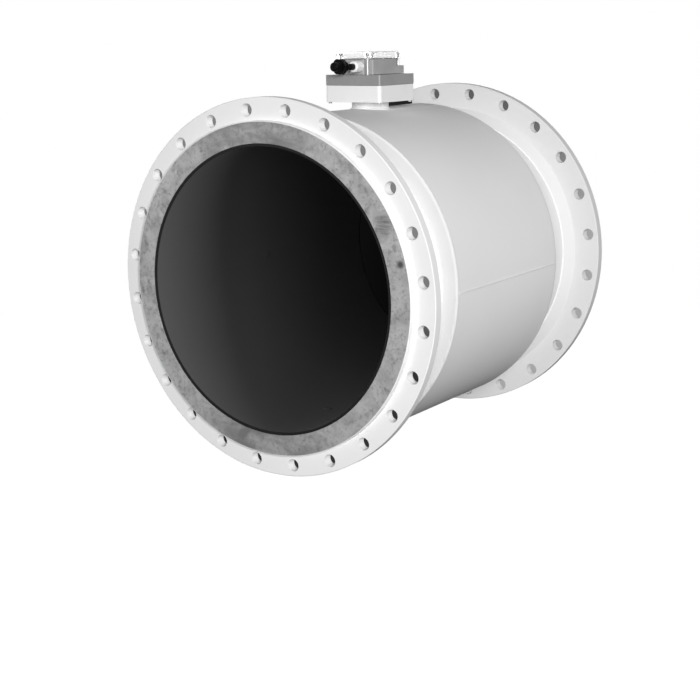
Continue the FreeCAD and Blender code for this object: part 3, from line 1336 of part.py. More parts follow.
measuring_tube()
liner()
flange("inlet_flange", "0", NO_TURN)
flange("outlet_flange", "size.bolt_face_span", ALONG_FLOW_REVERSED)
sealing_ring("inlet_sealing_ring", "0", ALONG_FLOW_REVERSED)
sealing_ring("outlet_sealing_ring", "size.bolt_face_span", NO_TURN)
coil_housing()
magnet()
yoke_screws()
electrode("right_electrode", MIDDLE, NO_TURN)
electrode("left_electrode", MIDDLE, ALONG_FLOW_REVERSED)
electrode("reference_electrode", REFERENCE_STATION, FACING_DOWN)
electrode_fittings()
signal_leads()
long_leads()
upper_coil_lead()
neck()
transmitter_base()
flat_gasket("base_gasket", BASE_TOP)
adapter_plate()
cross_gasket("housing_gasket", PLATE_TOP, "size.gasket_depth")
electronics_housing()
cross_gasket("lid_seal", HOUSING_TOP, "size.seal_depth")
clear_lid()
case_screws()
electronics()
terminals()
batteries()
black_gland()
metal_gland()
front_seal_screw()

# Check every object, then write one file for each piece
doc.recompute()
for item in doc.Objects:
    if "Invalid" in item.State or "Error" in item.State:
        raise RuntimeError(f"{item.Label} failed")
os.makedirs("parts", exist_ok=True)
for piece in SUB_PARTS:
    if piece.Shape.isNull() or not piece.Shape.isValid() or not piece.Shape.Solids:
        raise RuntimeError(f"{piece.Label} has no valid solid")
    piece.Shape.exportStep(f"parts/{piece.Label}.step")
print(len(SUB_PARTS), "pieces written")
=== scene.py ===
# %% [markdown]
# A large flow meter for water pipes, dressed for its portrait. The construction comes from the
# drawing office: every flange, plate, screw and seal arrives at its real size as a node of the
# frame. What is added here is what a workshop adds last: paint, the skin of rubber and steel,
# weld beads, printed boards, and a photographer's floor and lamps.

# %% Load the frame
import json
import math

import bpy
from mathutils import Matrix, Vector


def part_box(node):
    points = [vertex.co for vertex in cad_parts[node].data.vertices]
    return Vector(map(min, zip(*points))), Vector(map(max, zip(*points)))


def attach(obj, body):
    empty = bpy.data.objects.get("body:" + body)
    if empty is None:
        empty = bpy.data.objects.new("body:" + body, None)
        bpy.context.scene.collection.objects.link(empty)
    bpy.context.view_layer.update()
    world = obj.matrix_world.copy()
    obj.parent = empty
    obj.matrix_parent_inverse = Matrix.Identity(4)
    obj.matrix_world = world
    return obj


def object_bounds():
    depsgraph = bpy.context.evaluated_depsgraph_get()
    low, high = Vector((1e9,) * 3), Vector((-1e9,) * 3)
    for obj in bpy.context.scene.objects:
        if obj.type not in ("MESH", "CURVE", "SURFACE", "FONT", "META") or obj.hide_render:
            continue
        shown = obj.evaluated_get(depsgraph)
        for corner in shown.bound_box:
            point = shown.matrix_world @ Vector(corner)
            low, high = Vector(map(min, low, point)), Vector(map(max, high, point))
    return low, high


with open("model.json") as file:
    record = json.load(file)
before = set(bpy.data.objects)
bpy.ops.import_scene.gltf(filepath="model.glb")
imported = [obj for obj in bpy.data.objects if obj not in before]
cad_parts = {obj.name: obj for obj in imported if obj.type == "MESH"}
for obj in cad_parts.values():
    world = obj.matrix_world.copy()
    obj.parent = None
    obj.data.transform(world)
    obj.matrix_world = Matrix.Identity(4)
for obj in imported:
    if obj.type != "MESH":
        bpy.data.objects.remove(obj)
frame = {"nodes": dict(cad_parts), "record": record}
cad_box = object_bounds()
nodes = frame["nodes"]
print(len(nodes), "nodes between", [tuple(round(v, 4) for v in corner) for corner in cad_box])

# %% [markdown]
# Everything below is placed from the frame, so the lengths that many steps share are read off it
# first. The pipe runs along Y, the transmitter stands on top along Z, and lengths are in metres.

# %% Lengths read from the frame
MM = 0.001
middle = (cad_box[0] + cad_box[1]) / 2
floor_level = cad_box[0].z
drum_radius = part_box("coil_housing_shell")[1].z
print("drum radius", round(drum_radius, 4), "floor at", round(floor_level, 4))

# %% [markdown]
# A finish is built from shader nodes. Patterns that several finishes share, such as soft clouds of
# shade or the roundness of an edge, are node groups: they are wired once, with named sockets, and
# each material then places the group with values of its own. These helpers place nodes, join them
# and open a new group.

# %% Helpers for shader nodes
def place(tree, kind, **settings):
    """Adds a node and sets its properties."""
    node = tree.nodes.new(kind)
    for name, value in settings.items():
        setattr(node, name, value)
    return node


def join(tree, *pairs):
    for source, target in pairs:
        tree.links.new(source, target)


def object_place(tree):
    """The place of a point on its part, in object coordinates."""
    return place(tree, "ShaderNodeTexCoord").outputs["Object"]


def open_group(name, inputs, outputs):
    """A new node group: inputs are (name, kind, value), outputs are (name, kind)."""
    tree = bpy.data.node_groups.new(name, "ShaderNodeTree")
    for label, kind, value in inputs:
        socket = tree.interface.new_socket(label, in_out="INPUT", socket_type=f"NodeSocket{kind}")
        socket.default_value = value
    for label, kind in outputs:
        tree.interface.new_socket(label, in_out="OUTPUT", socket_type=f"NodeSocket{kind}")
    return tree, place(tree, "NodeGroupInput").outputs, place(tree, "NodeGroupOutput").inputs


def place_group(tree, group, **values):
    """Places a group; a value's name is its socket's name, with _ for a space."""
    node = place(tree, "ShaderNodeGroup", node_tree=group)
    for name, value in values.items():
        node.inputs[name.replace("_", " ")].default_value = value
    return node


# %% [markdown]
# Clouds. No painted or cast surface has one even tone: it drifts a little, in patches from a hand
# to a fingertip wide. A noise texture read in object coordinates gives such patches. A stretch
# along one axis turns them into streaks, and the two limits set how hard their edges are.

# %% Group: clouds of shade
clouds, into, out = open_group(
    "clouds",
    [("Scale", "Float", 8.0), ("Detail", "Float", 4.0), ("Twist", "Float", 0.0),
     ("Stretch", "Vector", (1, 1, 1)), ("Low", "Float", 0.35), ("High", "Float", 0.65)],
    [("Mask", "Float")])
stretched = place(clouds, "ShaderNodeVectorMath", operation="MULTIPLY")
noise = place(clouds, "ShaderNodeTexNoise")
limits = place(clouds, "ShaderNodeMapRange")
join(clouds,
     (object_place(clouds), stretched.inputs[0]), (into["Stretch"], stretched.inputs[1]),
     (stretched.outputs[0], noise.inputs["Vector"]), (into["Scale"], noise.inputs["Scale"]),
     (into["Detail"], noise.inputs["Detail"]), (into["Twist"], noise.inputs["Distortion"]),
     (noise.outputs["Fac"], limits.inputs["Value"]), (into["Low"], limits.inputs["From Min"]),
     (into["High"], limits.inputs["From Max"]), (limits.outputs["Result"], out["Mask"]))
print("group", clouds.name, "with", len(clouds.nodes), "nodes")

# %% [markdown]
# Edges. A drawn edge is a line without width, but a real one is broken by a file or rounded by
# paint, and that thin round catches the light. The Bevel node looks round each corner and bends
# the normal there, so every edge gets its round without any more faces. The grain of the surface
# is laid on that normal as a fine relief.

# %% Group: rounded edges
EDGE_SAMPLES = 4
rounded, into, out = open_group(
    "rounded edges",
    [("Radius", "Float", 0.001), ("Height", "Float", 0.0), ("Depth", "Float", 0.0001)],
    [("Normal", "Vector")])
round_normal = place(rounded, "ShaderNodeBevel", samples=EDGE_SAMPLES)
relief = place(rounded, "ShaderNodeBump")
join(rounded,
     (into["Radius"], round_normal.inputs["Radius"]),
     (round_normal.outputs[0], relief.inputs["Normal"]),
     (into["Height"], relief.inputs["Height"]), (into["Depth"], relief.inputs["Distance"]),
     (relief.outputs[0], out["Normal"]))
print("group", rounded.name, "with", len(rounded.nodes), "nodes")

# %% [markdown]
# The same round normal, set against the true one, says where an edge is, which is where plastic is
# rubbed and where a lighter tone paints a highlight. One minus their dot product is 0 on a flat
# face and grows on an edge.

# %% Group: mask of edges
edges, into, out = open_group(
    "edge mask", [("Radius", "Float", 0.001), ("Gain", "Float", 3.0)], [("Mask", "Float")])
round_normal = place(edges, "ShaderNodeBevel", samples=EDGE_SAMPLES)
true_normal = place(edges, "ShaderNodeNewGeometry")
match = place(edges, "ShaderNodeVectorMath", operation="DOT_PRODUCT")
turn = place(edges, "ShaderNodeMath", operation="SUBTRACT")
turn.inputs[0].default_value = 1.0
gain = place(edges, "ShaderNodeMath", operation="MULTIPLY", use_clamp=True)
join(edges,
     (into["Radius"], round_normal.inputs["Radius"]), (round_normal.outputs[0], match.inputs[0]),
     (true_normal.outputs["Normal"], match.inputs[1]), (match.outputs["Value"], turn.inputs[1]),
     (turn.outputs[0], gain.inputs[0]), (into["Gain"], gain.inputs[1]),
     (gain.outputs[0], out["Mask"]))
print("group", edges.name, "with", len(edges.nodes), "nodes")

# %% [markdown]
# A skin is the shared recipe of all the finishes here. It has two tones that drift into each
# other in clouds, a third tone on the edges that is partly wear and mostly a painted highlight, a
# roughness that drifts with the clouds, and a fine
# relief: orange peel on sprayed paint, spark texture on moulded plastic, or the grain of rubber.

# %% Group: skin
skin, into, out = open_group(
    "skin",
    [("Tone", "Color", (1, 1, 1, 1)), ("Drift tone", "Color", (1, 1, 1, 1)),
     ("Edge tone", "Color", (1, 1, 1, 1)), ("Cloud scale", "Float", 6.0),
     ("Cloud stretch", "Vector", (1, 1, 1)), ("Cloud twist", "Float", 0.0),
     ("Cloud low", "Float", 0.35), ("Cloud high", "Float", 0.65),
     ("Grain scale", "Float", 900.0), ("Grain stretch", "Vector", (1, 1, 1)),
     ("Edge radius", "Float", 0.001), ("Edge gain", "Float", 0.0),
     ("Smooth", "Float", 0.35), ("Rough", "Float", 0.5)],
    [("Color", "Color"), ("Roughness", "Float"), ("Height", "Float")])
patch = place_group(skin, clouds, Detail=5.0)
grain = place_group(skin, clouds, Detail=2.0, Low=0.2, High=0.8)
rim = place_group(skin, edges)
drift = place(skin, "ShaderNodeMix", data_type="RGBA")
# The edge tone laid on here is partly wear and mostly a painted highlight on the rounded edges.
rubbed = place(skin, "ShaderNodeMix", data_type="RGBA")
gloss = place(skin, "ShaderNodeMapRange")
join(skin,
     (into["Cloud scale"], patch.inputs["Scale"]), (into["Cloud stretch"], patch.inputs["Stretch"]),
     (into["Cloud twist"], patch.inputs["Twist"]), (into["Cloud low"], patch.inputs["Low"]),
     (into["Cloud high"], patch.inputs["High"]),
     (into["Grain scale"], grain.inputs["Scale"]), (into["Grain stretch"], grain.inputs["Stretch"]),
     (into["Edge radius"], rim.inputs["Radius"]), (into["Edge gain"], rim.inputs["Gain"]),
     (patch.outputs["Mask"], drift.inputs["Factor"]), (into["Tone"], drift.inputs["A"]),
     (into["Drift tone"], drift.inputs["B"]), (drift.outputs["Result"], rubbed.inputs["A"]),
     (rim.outputs["Mask"], rubbed.inputs["Factor"]), (into["Edge tone"], rubbed.inputs["B"]),
     (patch.outputs["Mask"], gloss.inputs["Value"]), (into["Smooth"], gloss.inputs["To Min"]),
     (into["Rough"], gloss.inputs["To Max"]), (rubbed.outputs["Result"], out["Color"]),
     (gloss.outputs["Result"], out["Roughness"]), (grain.outputs["Mask"], out["Height"]))
print("group", skin.name, "with", len(skin.nodes), "nodes")

# %% [markdown]
# One function then turns a row of values into a finished material. What is the same all over the
# surface, such as metalness or the strength of the shine, is set on the shader itself; what
# changes from place to place comes through the groups.

# %% Helper: a finish from the skin
finishes = {}


def grey(value, warmth=0.0):
    """A nearly neutral colour: the meter has hardly any colour of its own."""
    return (value * (1 + warmth), value, value * (1 - warmth), 1.0)


def new_material(name):
    """A material's node tree, and the shader that it starts with."""
    finishes[name] = bpy.data.materials.new(name)
    finishes[name].use_nodes = True
    tree = finishes[name].node_tree
    return tree, tree.nodes["Principled BSDF"]


def make_finish(name, tone, drift_tone, edge_tone=None, metallic=0.0, specular=0.5,
                round_edge=0.6 * MM, relief=0.05 * MM, **values):
    tree, shader = new_material(name)
    coating = place_group(tree, skin, Edge_radius=round_edge, Tone=tone, Drift_tone=drift_tone,
                          Edge_tone=edge_tone or tone, **values)
    surface = place_group(tree, rounded, Radius=round_edge, Depth=relief)
    join(tree,
         (coating.outputs["Color"], shader.inputs["Base Color"]),
         (coating.outputs["Roughness"], shader.inputs["Roughness"]),
         (coating.outputs["Height"], surface.inputs["Height"]),
         (surface.outputs["Normal"], shader.inputs["Normal"]))
    shader.inputs["Metallic"].default_value = metallic
    shader.inputs["Specular IOR Level"].default_value = specular
    return tree, shader


# %% [markdown]
# Paint. The pipe body is sprayed white over welded steel. The coat is satin and very even: a trace
# of orange peel, a drift of a few percent in tone, and a lighter tone on each rounded edge, a
# painted highlight.
# The far flange and the end plates get a greyer copy of the white paint, as painted shade. The
# transmitter's base has a harder powder coat, and the plate above it the same coat in grey.

# %% Painted finishes
SPRAYED = {"specular": 0.06, "relief": 0.02 * MM, "round_edge": 0.8 * MM, "Cloud_scale": 3.0,
           "Grain_scale": 420.0, "Edge_gain": 0.5, "Smooth": 0.55, "Rough": 0.65}
PAINT = grey(0.82)
make_finish("white_paint", PAINT, grey(0.79), grey(0.84), **SPRAYED)
# A greyer copy of the white paint: painted shade for the far flange and the end plates.
make_finish("thin_paint", grey(0.70), grey(0.67), grey(0.77), **SPRAYED)
make_finish("case_paint", grey(0.76), grey(0.74), grey(0.82), specular=0.3, relief=0.03 * MM,
            round_edge=0.8 * MM, Cloud_scale=14.0, Grain_scale=900.0, Edge_gain=1.5,
            Smooth=0.3, Rough=0.42)
# The grey plate's edge tone is twice as light as its face: a painted highlight on its rounded
# corners.
make_finish("grey_paint", grey(0.25), grey(0.23), grey(0.5), specular=0.4, relief=0.04 * MM,
            round_edge=0.7 * MM, Cloud_scale=18.0, Grain_scale=1100.0, Edge_gain=2.0,
            Smooth=0.26, Rough=0.36)
print("painted:", ", ".join(finishes))

# %% [markdown]
# Bare steel. The raised rings are the only naked metal of the body. They were turned, pickled and
# left dull, so they show smoky patches about a thumb wide rather than a mirror. Two cloud patterns
# do that: a wide twisted one for the patches and a fine one for the tooth of the turned face.
# Screws, windings and the small gland are brighter. The electrodes are dull from the water.

# %% Steel and bright metal finishes
RING_METALLIC = 0.4
POLISHED = {"relief": 0.01 * MM, "Cloud_scale": 60.0, "Grain_scale": 1600.0}
ring_tree, ring_shader = make_finish(
    "bare_steel", grey(0.54), grey(0.34), grey(0.45), metallic=RING_METALLIC, specular=0.3,
    round_edge=0.8 * MM, relief=0.12 * MM, Cloud_scale=27.0, Cloud_twist=0.5, Cloud_low=0.40,
    Cloud_high=0.70, Grain_scale=260.0, Edge_gain=0.4, Smooth=0.45, Rough=0.62)
make_finish("pipe_steel", grey(0.45), grey(0.36), metallic=0.8, Cloud_scale=9.0, Grain_scale=300.0,
            Smooth=0.4, Rough=0.6)
make_finish("bright_metal", grey(0.82), grey(0.70), grey(0.95), metallic=1.0, round_edge=0.3 * MM,
            Grain_stretch=(1, 0.1, 1), Edge_gain=2.0, Smooth=0.16, Rough=0.3, **POLISHED)
make_finish("nickel", grey(0.90), grey(0.84), grey(0.98), metallic=0.25, round_edge=0.4 * MM,
            Edge_gain=1.5, Smooth=0.3, Rough=0.45, **POLISHED)
make_finish("spring_steel", grey(0.42), grey(0.33), metallic=0.9, round_edge=0.2 * MM,
            Cloud_scale=50.0, Grain_scale=1200.0, Smooth=0.3, Rough=0.5)
make_finish("cell_steel", grey(0.55), grey(0.48), metallic=0.6, round_edge=0.5 * MM,
            Cloud_scale=40.0, Grain_scale=700.0, Smooth=0.3, Rough=0.45)
make_finish("iron", grey(0.20), grey(0.14), metallic=0.5, Cloud_scale=22.0, Grain_scale=500.0,
            Smooth=0.5, Rough=0.75)
make_finish("copper", (0.42, 0.17, 0.07, 1), (0.30, 0.11, 0.04, 1), metallic=0.8,
            Cloud_scale=30.0, Grain_scale=600.0, Grain_stretch=(1, 0.2, 1), Smooth=0.3, Rough=0.45)
make_finish("wetted_alloy", grey(0.15), grey(0.13), specular=0.1, Cloud_scale=60.0,
            Grain_scale=900.0, Smooth=0.55, Rough=0.7)
print(len(finishes), "finishes so far")

# %% [markdown]
# Some finishes have marks at set places. A mark is a mask, worked out from the place on the part in
# object coordinates, and a tone that is laid over the skin where the mask is one. These helpers
# read a place, turn it into a soft step or a soft spot, join masks and lay the tone.

# %% Helpers for marks at set places
def place_along(tree, axis):
    """How far along X, Y or Z a point of the surface lies."""
    axes = place(tree, "ShaderNodeSeparateXYZ")
    join(tree, (object_place(tree), axes.inputs[0]))
    return axes.outputs[axis]


def soft_step(tree, value, low, high, to_low=0.0, to_high=1.0):
    """Turns a value between two limits into one between two others."""
    node = place(tree, "ShaderNodeMapRange", interpolation_type="SMOOTHSTEP")
    settings = {"From Min": low, "From Max": high, "To Min": to_low, "To Max": to_high}
    for name, number in settings.items():
        node.inputs[name].default_value = number
    join(tree, (value, node.inputs["Value"]))
    return node.outputs["Result"]


def soft_spot(tree, centre, size, core=0.2):
    """One near a point, fading to nothing at the given distance."""
    away = place(tree, "ShaderNodeVectorMath", operation="DISTANCE")
    away.inputs[1].default_value = centre
    join(tree, (object_place(tree), away.inputs[0]))
    return soft_step(tree, away.outputs["Value"], core * size, size, 1.0, 0.0)


def in_pairs(tree, operation, *values):
    """Works several values into one, pair by pair."""
    result = values[0]
    for value in values[1:]:
        node = place(tree, "ShaderNodeMath", operation=operation)
        join(tree, (result, node.inputs[0]), (value, node.inputs[1]))
        result = node.outputs[0]
    return result


def lay_over(tree, shader, mask, tone):
    """Mixes a tone over whatever colour feeds the shader, where the mask is one."""
    target = shader.inputs["Base Color"]
    layer = place(tree, "ShaderNodeMix", data_type="RGBA")
    join(tree, (target.links[0].from_socket, layer.inputs["A"]), (mask, layer.inputs["Factor"]))
    layer.inputs["B"].default_value = tone
    join(tree, (layer.outputs["Result"], target))


# %% [markdown]
# The four long screws of the lid are bright, and their sunk heads are coloured nearly black. Both
# are one part of the frame, so one material changes over at the height where the head begins.

# %% Lid screws with black heads
HEAD_HEIGHT, HEAD_FADE = 5 * MM, 0.2 * MM
head_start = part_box("lid_screws")[1].z - HEAD_HEIGHT
tree, shader = make_finish("capped_screw", grey(0.50), grey(0.45), grey(0.6), metallic=0.5,
                           round_edge=0.3 * MM, Edge_gain=2.0, Smooth=0.3, Rough=0.45, **POLISHED)
black_head = soft_step(tree, place_along(tree, "Z"), head_start, head_start + HEAD_FADE)
lay_over(tree, shader, black_head, grey(0.01))
print("heads above", round(head_start, 4))

# %% [markdown]
# The ring has marks of its own. The smoky patches are broken up by small dark stains and flecks.
# Near the top and the bottom of the ring a darker smoke is laid as painted shade. A short scored
# line crosses the ring where the strip that it was rolled from is butt-welded, and one dark spot
# lies below that.

# %% Marks on the sealing ring
ring_low, ring_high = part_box("inlet_sealing_ring")
STRIP_JOINT = (0.324, ring_low.y, 0.178)
DARK_SPOT = (0.368, ring_low.y, 0.093)
stains = place_group(ring_tree, clouds, Scale=48.0, Detail=6.0, Twist=0.3, Low=0.57, High=0.84)
lay_over(ring_tree, ring_shader, stains.outputs["Mask"], grey(0.14))
flecks = place_group(ring_tree, clouds, Scale=150.0, Detail=4.0, Low=0.52, High=0.9)
lay_over(ring_tree, ring_shader, flecks.outputs["Mask"], grey(0.16))
smoke = place_group(ring_tree, clouds, Scale=16.0, Stretch=(0.5, 1, 1.6), Detail=6.0, Twist=0.8,
                    Low=0.3, High=0.62)
# Painted shade: near the top and the bottom of the ring the smoke is laid in a darker grey.
for end in (-1, 1):
    thickest = soft_spot(ring_tree, (-0.02, ring_low.y, end * ring_high.z), size=0.26)
    smoky = in_pairs(ring_tree, "MULTIPLY", smoke.outputs["Mask"], thickest)
    lay_over(ring_tree, ring_shader, smoky, grey(0.22))
scratches = place_group(ring_tree, clouds, Scale=26.0, Stretch=(1, 1, 14), Detail=2.0,
                        Low=0.2, High=0.75)
scored = in_pairs(ring_tree, "MULTIPLY", scratches.outputs["Mask"],
                  soft_spot(ring_tree, STRIP_JOINT, size=0.034),
                  soft_spot(ring_tree, STRIP_JOINT, size=0.060))
lay_over(ring_tree, ring_shader, scored, grey(0.10))
lay_over(ring_tree, ring_shader, soft_spot(ring_tree, DARK_SPOT, size=0.014), grey(0.09))
print("ring marks on the face at", round(ring_low.y, 4))

# %% [markdown]
# The white coat of the flange laps over the outer side of the ring. How far a point lies from the
# pipe's axis says where: the length of its place, once the part along the axis is taken out.

# %% Paint lapping over the ring
LAP_START, LAP_FULL = ring_high.z - 3.5 * MM, ring_high.z - 0.8 * MM
flat = place(ring_tree, "ShaderNodeVectorMath", operation="MULTIPLY")
flat.inputs[1].default_value = (1, 0, 1)
radius = place(ring_tree, "ShaderNodeVectorMath", operation="LENGTH")
join(ring_tree, (object_place(ring_tree), flat.inputs[0]), (flat.outputs[0], radius.inputs[0]))
lap = soft_step(ring_tree, radius.outputs["Value"], LAP_START, LAP_FULL)
lay_over(ring_tree, ring_shader, lap, PAINT)
bare_metal = soft_step(ring_tree, lap, 0.0, 1.0, RING_METALLIC, 0.0)
join(ring_tree, (bare_metal, ring_shader.inputs["Metallic"]))
print("paint laps from radius", round(LAP_START, 4))

# %% [markdown]
# The bore is lined with hard rubber, which is dull black with a grey bloom. At the two lips the
# lining is laid nearly black. Both lips lie as far from the middle of the pipe,
# so one mask serves them.

# %% Lining of the bore
LIP_START, LIP_FULL = 5 * MM, 2 * MM
bore_low, bore_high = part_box("liner")
bore_middle = (bore_low.y + bore_high.y) / 2
tree, shader = make_finish(
    "hard_rubber", grey(0.165), grey(0.155), specular=0.12, Cloud_scale=5.0,
    Cloud_stretch=(1, 0.4, 1), Grain_scale=350.0, Smooth=0.5, Rough=0.7)
from_middle = place(tree, "ShaderNodeMath", operation="SUBTRACT")
from_middle.inputs[1].default_value = bore_middle
either_way = place(tree, "ShaderNodeMath", operation="ABSOLUTE")
join(tree, (place_along(tree, "Y"), from_middle.inputs[0]),
     (from_middle.outputs[0], either_way.inputs[0]))
half_length = bore_high.y - bore_middle
lip = soft_step(tree, either_way.outputs[0], half_length - LIP_START, half_length - LIP_FULL)
lay_over(tree, shader, lip, grey(0.03))
print("lips", round(half_length, 4), "either side of", round(bore_middle, 4))

# %% [markdown]
# The glands and the grey housing are moulded. Their mould was spark-eroded, so the skin is a fine
# even grit, and their edges are a little lighter, partly rubbed by hands and partly a painted
# highlight. The seals are soft rubber, and the boards, blocks and leads inside have the dull skins
# of their kinds.

# %% Rubber and plastic finishes
make_finish("soft_rubber", grey(0.022), grey(0.03), specular=0.3, Cloud_scale=60.0,
            Grain_scale=1500.0, Smooth=0.55, Rough=0.8)
# The lighter edge tone of the black plastic paints highlights on its facets.
make_finish("black_plastic", grey(0.002), grey(0.004), grey(0.16), specular=0.08,
            round_edge=0.4 * MM, Cloud_scale=60.0, Grain_scale=1800.0, Edge_gain=1.4,
            Smooth=0.32, Rough=0.5)
make_finish("grey_plastic", grey(0.34), grey(0.31), grey(0.5), specular=0.3,
            Cloud_scale=24.0, Grain_scale=1500.0, Edge_gain=2.0, Smooth=0.45, Rough=0.6)
make_finish("light_plastic", grey(0.62, 0.01), grey(0.56, 0.01), grey(0.7), Cloud_scale=30.0,
            Grain_scale=1400.0, Edge_gain=1.0, Smooth=0.4, Rough=0.55)
make_finish("insulation", (0.50, 0.42, 0.27, 1), (0.42, 0.34, 0.2, 1), Cloud_scale=30.0,
            Grain_scale=500.0, Smooth=0.45, Rough=0.65)
make_finish("lead_jacket", grey(0.05), grey(0.07), Cloud_scale=30.0, Grain_scale=900.0,
            Smooth=0.4, Rough=0.55)
make_finish("terminal_plastic", (0.05, 0.12, 0.07, 1), (0.04, 0.1, 0.06, 1), Cloud_scale=50.0,
            Grain_scale=1500.0, Smooth=0.35, Rough=0.5)
make_finish("board", (0.035, 0.075, 0.05, 1), (0.03, 0.06, 0.04, 1), round_edge=0.1 * MM,
            Cloud_scale=90.0, Grain_scale=900.0, Smooth=0.25, Rough=0.4)
make_finish("display_glass", (0.33, 0.36, 0.32, 1), (0.30, 0.33, 0.29, 1), specular=0.6,
            round_edge=0.2 * MM, Cloud_scale=20.0, Grain_scale=400.0, Smooth=0.08, Rough=0.14)
make_finish("lcd_ink", grey(0.02), grey(0.03), round_edge=0.05 * MM, Cloud_scale=200.0,
            Grain_scale=2000.0, Smooth=0.3, Rough=0.4)
print(len(finishes), "finishes so far")

# %% [markdown]
# The lid is clear polycarbonate. Glass-like plastic needs transmission on the shader itself, not a
# transparent mix, so that it bends what lies behind it. Its index is set lower than the real one,
# which keeps the thin walls pale. A faint cloud in its roughness stands for the handling marks
# that every such lid carries.

# %% Clear lid
_, shader = make_finish("clear_plastic", grey(0.98), grey(0.98), round_edge=0.5 * MM,
                        relief=0.01 * MM, Cloud_scale=40.0, Grain_scale=500.0, Edge_gain=0.5,
                        Smooth=0.02, Rough=0.06)
shader.inputs["Transmission Weight"].default_value = 0.88
shader.inputs["IOR"].default_value = 1.12
print("lid index", round(shader.inputs["IOR"].default_value, 2))

# %% [markdown]
# Each node of the frame names the slot of its finish, and a few look otherwise than their slot
# says. The pipe is bare steel inside the drum, but where it shows it was sprayed along with the
# rest. The far flange and the end plates get the greyer paint, which is painted shade, the small
# gland is nickel plated, and what touches the water is dull.

# %% Dress the nodes of the frame
own_look = {
    "white_paint": ("measuring_tube", "neck"),
    "thin_paint": ("inlet_end_plate", "outlet_end_plate", "outlet_flange"),
    "nickel": ("metal_gland_nut", "metal_gland_body", "front_seal_screw"),
    "wetted_alloy": ("right_electrode", "left_electrode", "reference_electrode"),
    # The base screws take the darker spring steel finish as painted shade, since they sit in the
    # shade under the base.
    "spring_steel": ("base_screws",),
    "black_plastic": ("black_gland_plug",),
    "capped_screw": ("lid_screws",),
}
finish_of = {part["node"]: part["material_slot"] for part in frame["record"]["subparts"]}
finish_of.update({part: finish for finish, parts in own_look.items() for part in parts})
for name, node in nodes.items():
    for slot in node.material_slots:
        slot.material = finishes[finish_of[name]]
print("dressed", len(finish_of), "nodes")

# %% [markdown]
# New pieces are modelled as by hand: a primitive is added at its size and place, then shaped in
# edit mode. Loading the frame leaves its nodes selected, so each start clears the selection. A
# finished piece has its place in its mesh, a finish, and a body to ride on.

# %% Helpers for modelling
def clear_selection():
    if bpy.context.object and bpy.context.object.mode != "OBJECT":
        bpy.ops.object.mode_set(mode="OBJECT")
    bpy.ops.object.select_all(action="DESELECT")


def pick(piece, wanted, kind="VERT"):
    """Goes to edit mode with only the wanted vertices or faces selected."""
    bpy.ops.object.mode_set(mode="EDIT")
    bpy.ops.mesh.select_mode(type=kind)
    bpy.ops.mesh.select_all(action="DESELECT")
    bpy.ops.object.mode_set(mode="OBJECT")
    for part in piece.data.vertices if kind == "VERT" else piece.data.polygons:
        part.select = wanted(part)
    bpy.ops.object.mode_set(mode="EDIT")


def keep(name, finish):
    """Names the active piece, sets it down in the frame and gives it its finish and body."""
    bpy.ops.object.mode_set(mode="OBJECT")
    piece = bpy.context.object
    bpy.ops.object.transform_apply(location=True, rotation=True, scale=True)
    piece.name = piece.data.name = name
    piece.data.materials.clear()
    piece.data.materials.append(finishes[finish])
    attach(piece, "root")
    return piece


# %% [markdown]
# Weld beads. A bead is a rope of small overlapping puddles, each as long as the welder's step. The
# drum was rolled from one sheet, and its seam is a straight bead. One puddle is a short open tube
# with a swollen middle. An Array modifier repeats it along the drum and merges each with the next.

# %% Seam of the drum
PUDDLE = 7 * MM
SEAM_THICK, SEAM_SIDES, SEAM_SWELL, SEAM_RISE = 1.5 * MM, 10, 1.3, 0.2 * MM
plate_low, plate_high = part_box("inlet_end_plate")
far_plate_low, far_plate_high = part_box("outlet_end_plate")
puddles = round((far_plate_low.y - plate_high.y - PUDDLE) / PUDDLE)
clear_selection()
bpy.ops.mesh.primitive_cylinder_add(vertices=SEAM_SIDES, radius=SEAM_THICK, depth=PUDDLE,
                                    end_fill_type="NOTHING")
seam = bpy.context.object
bpy.ops.object.mode_set(mode="EDIT")
bpy.ops.mesh.select_all(action="SELECT")
bpy.ops.mesh.subdivide(number_cuts=1)
pick(seam, lambda point: abs(point.co.z) < PUDDLE / 10)
bpy.ops.transform.resize(value=(SEAM_SWELL, SEAM_SWELL, 1))
bpy.ops.object.mode_set(mode="OBJECT")
row = seam.modifiers.new("row", "ARRAY")
row.count = puddles
row.relative_offset_displace = (0, 0, 1)
row.use_merge_vertices = True
row.merge_threshold = 0.1 * MM
bpy.ops.object.modifier_apply(modifier=row.name)
bpy.ops.object.mode_set(mode="EDIT")
bpy.ops.mesh.select_all(action="SELECT")
bpy.ops.mesh.faces_shade_smooth()
bpy.ops.object.mode_set(mode="OBJECT")
seam.rotation_euler.x = -math.pi / 2
seam.location = (drum_radius + SEAM_RISE, plate_high.y + PUDDLE, 0)
keep("drum_seam_weld", "white_paint")
print("drum seam of", puddles, "puddles")

# %% [markdown]
# A bead that goes round starts as a thin torus with two rings of points for every puddle. Each
# second ring is then swollen a little, which gives the ripples. The neck stands on the curve of the
# drum, so the bead round its foot can't be flat. It is made as a flat ring first and then let down,
# each point by as much as the drum falls away under it.

# %% Bead round the foot of the neck
RING_SIDES, RING_SWELL = 8, 0.25
NARROW_BEAD, WIDE_BEAD = 2.5 * MM, 4 * MM
NECK_GAP = 1 * MM


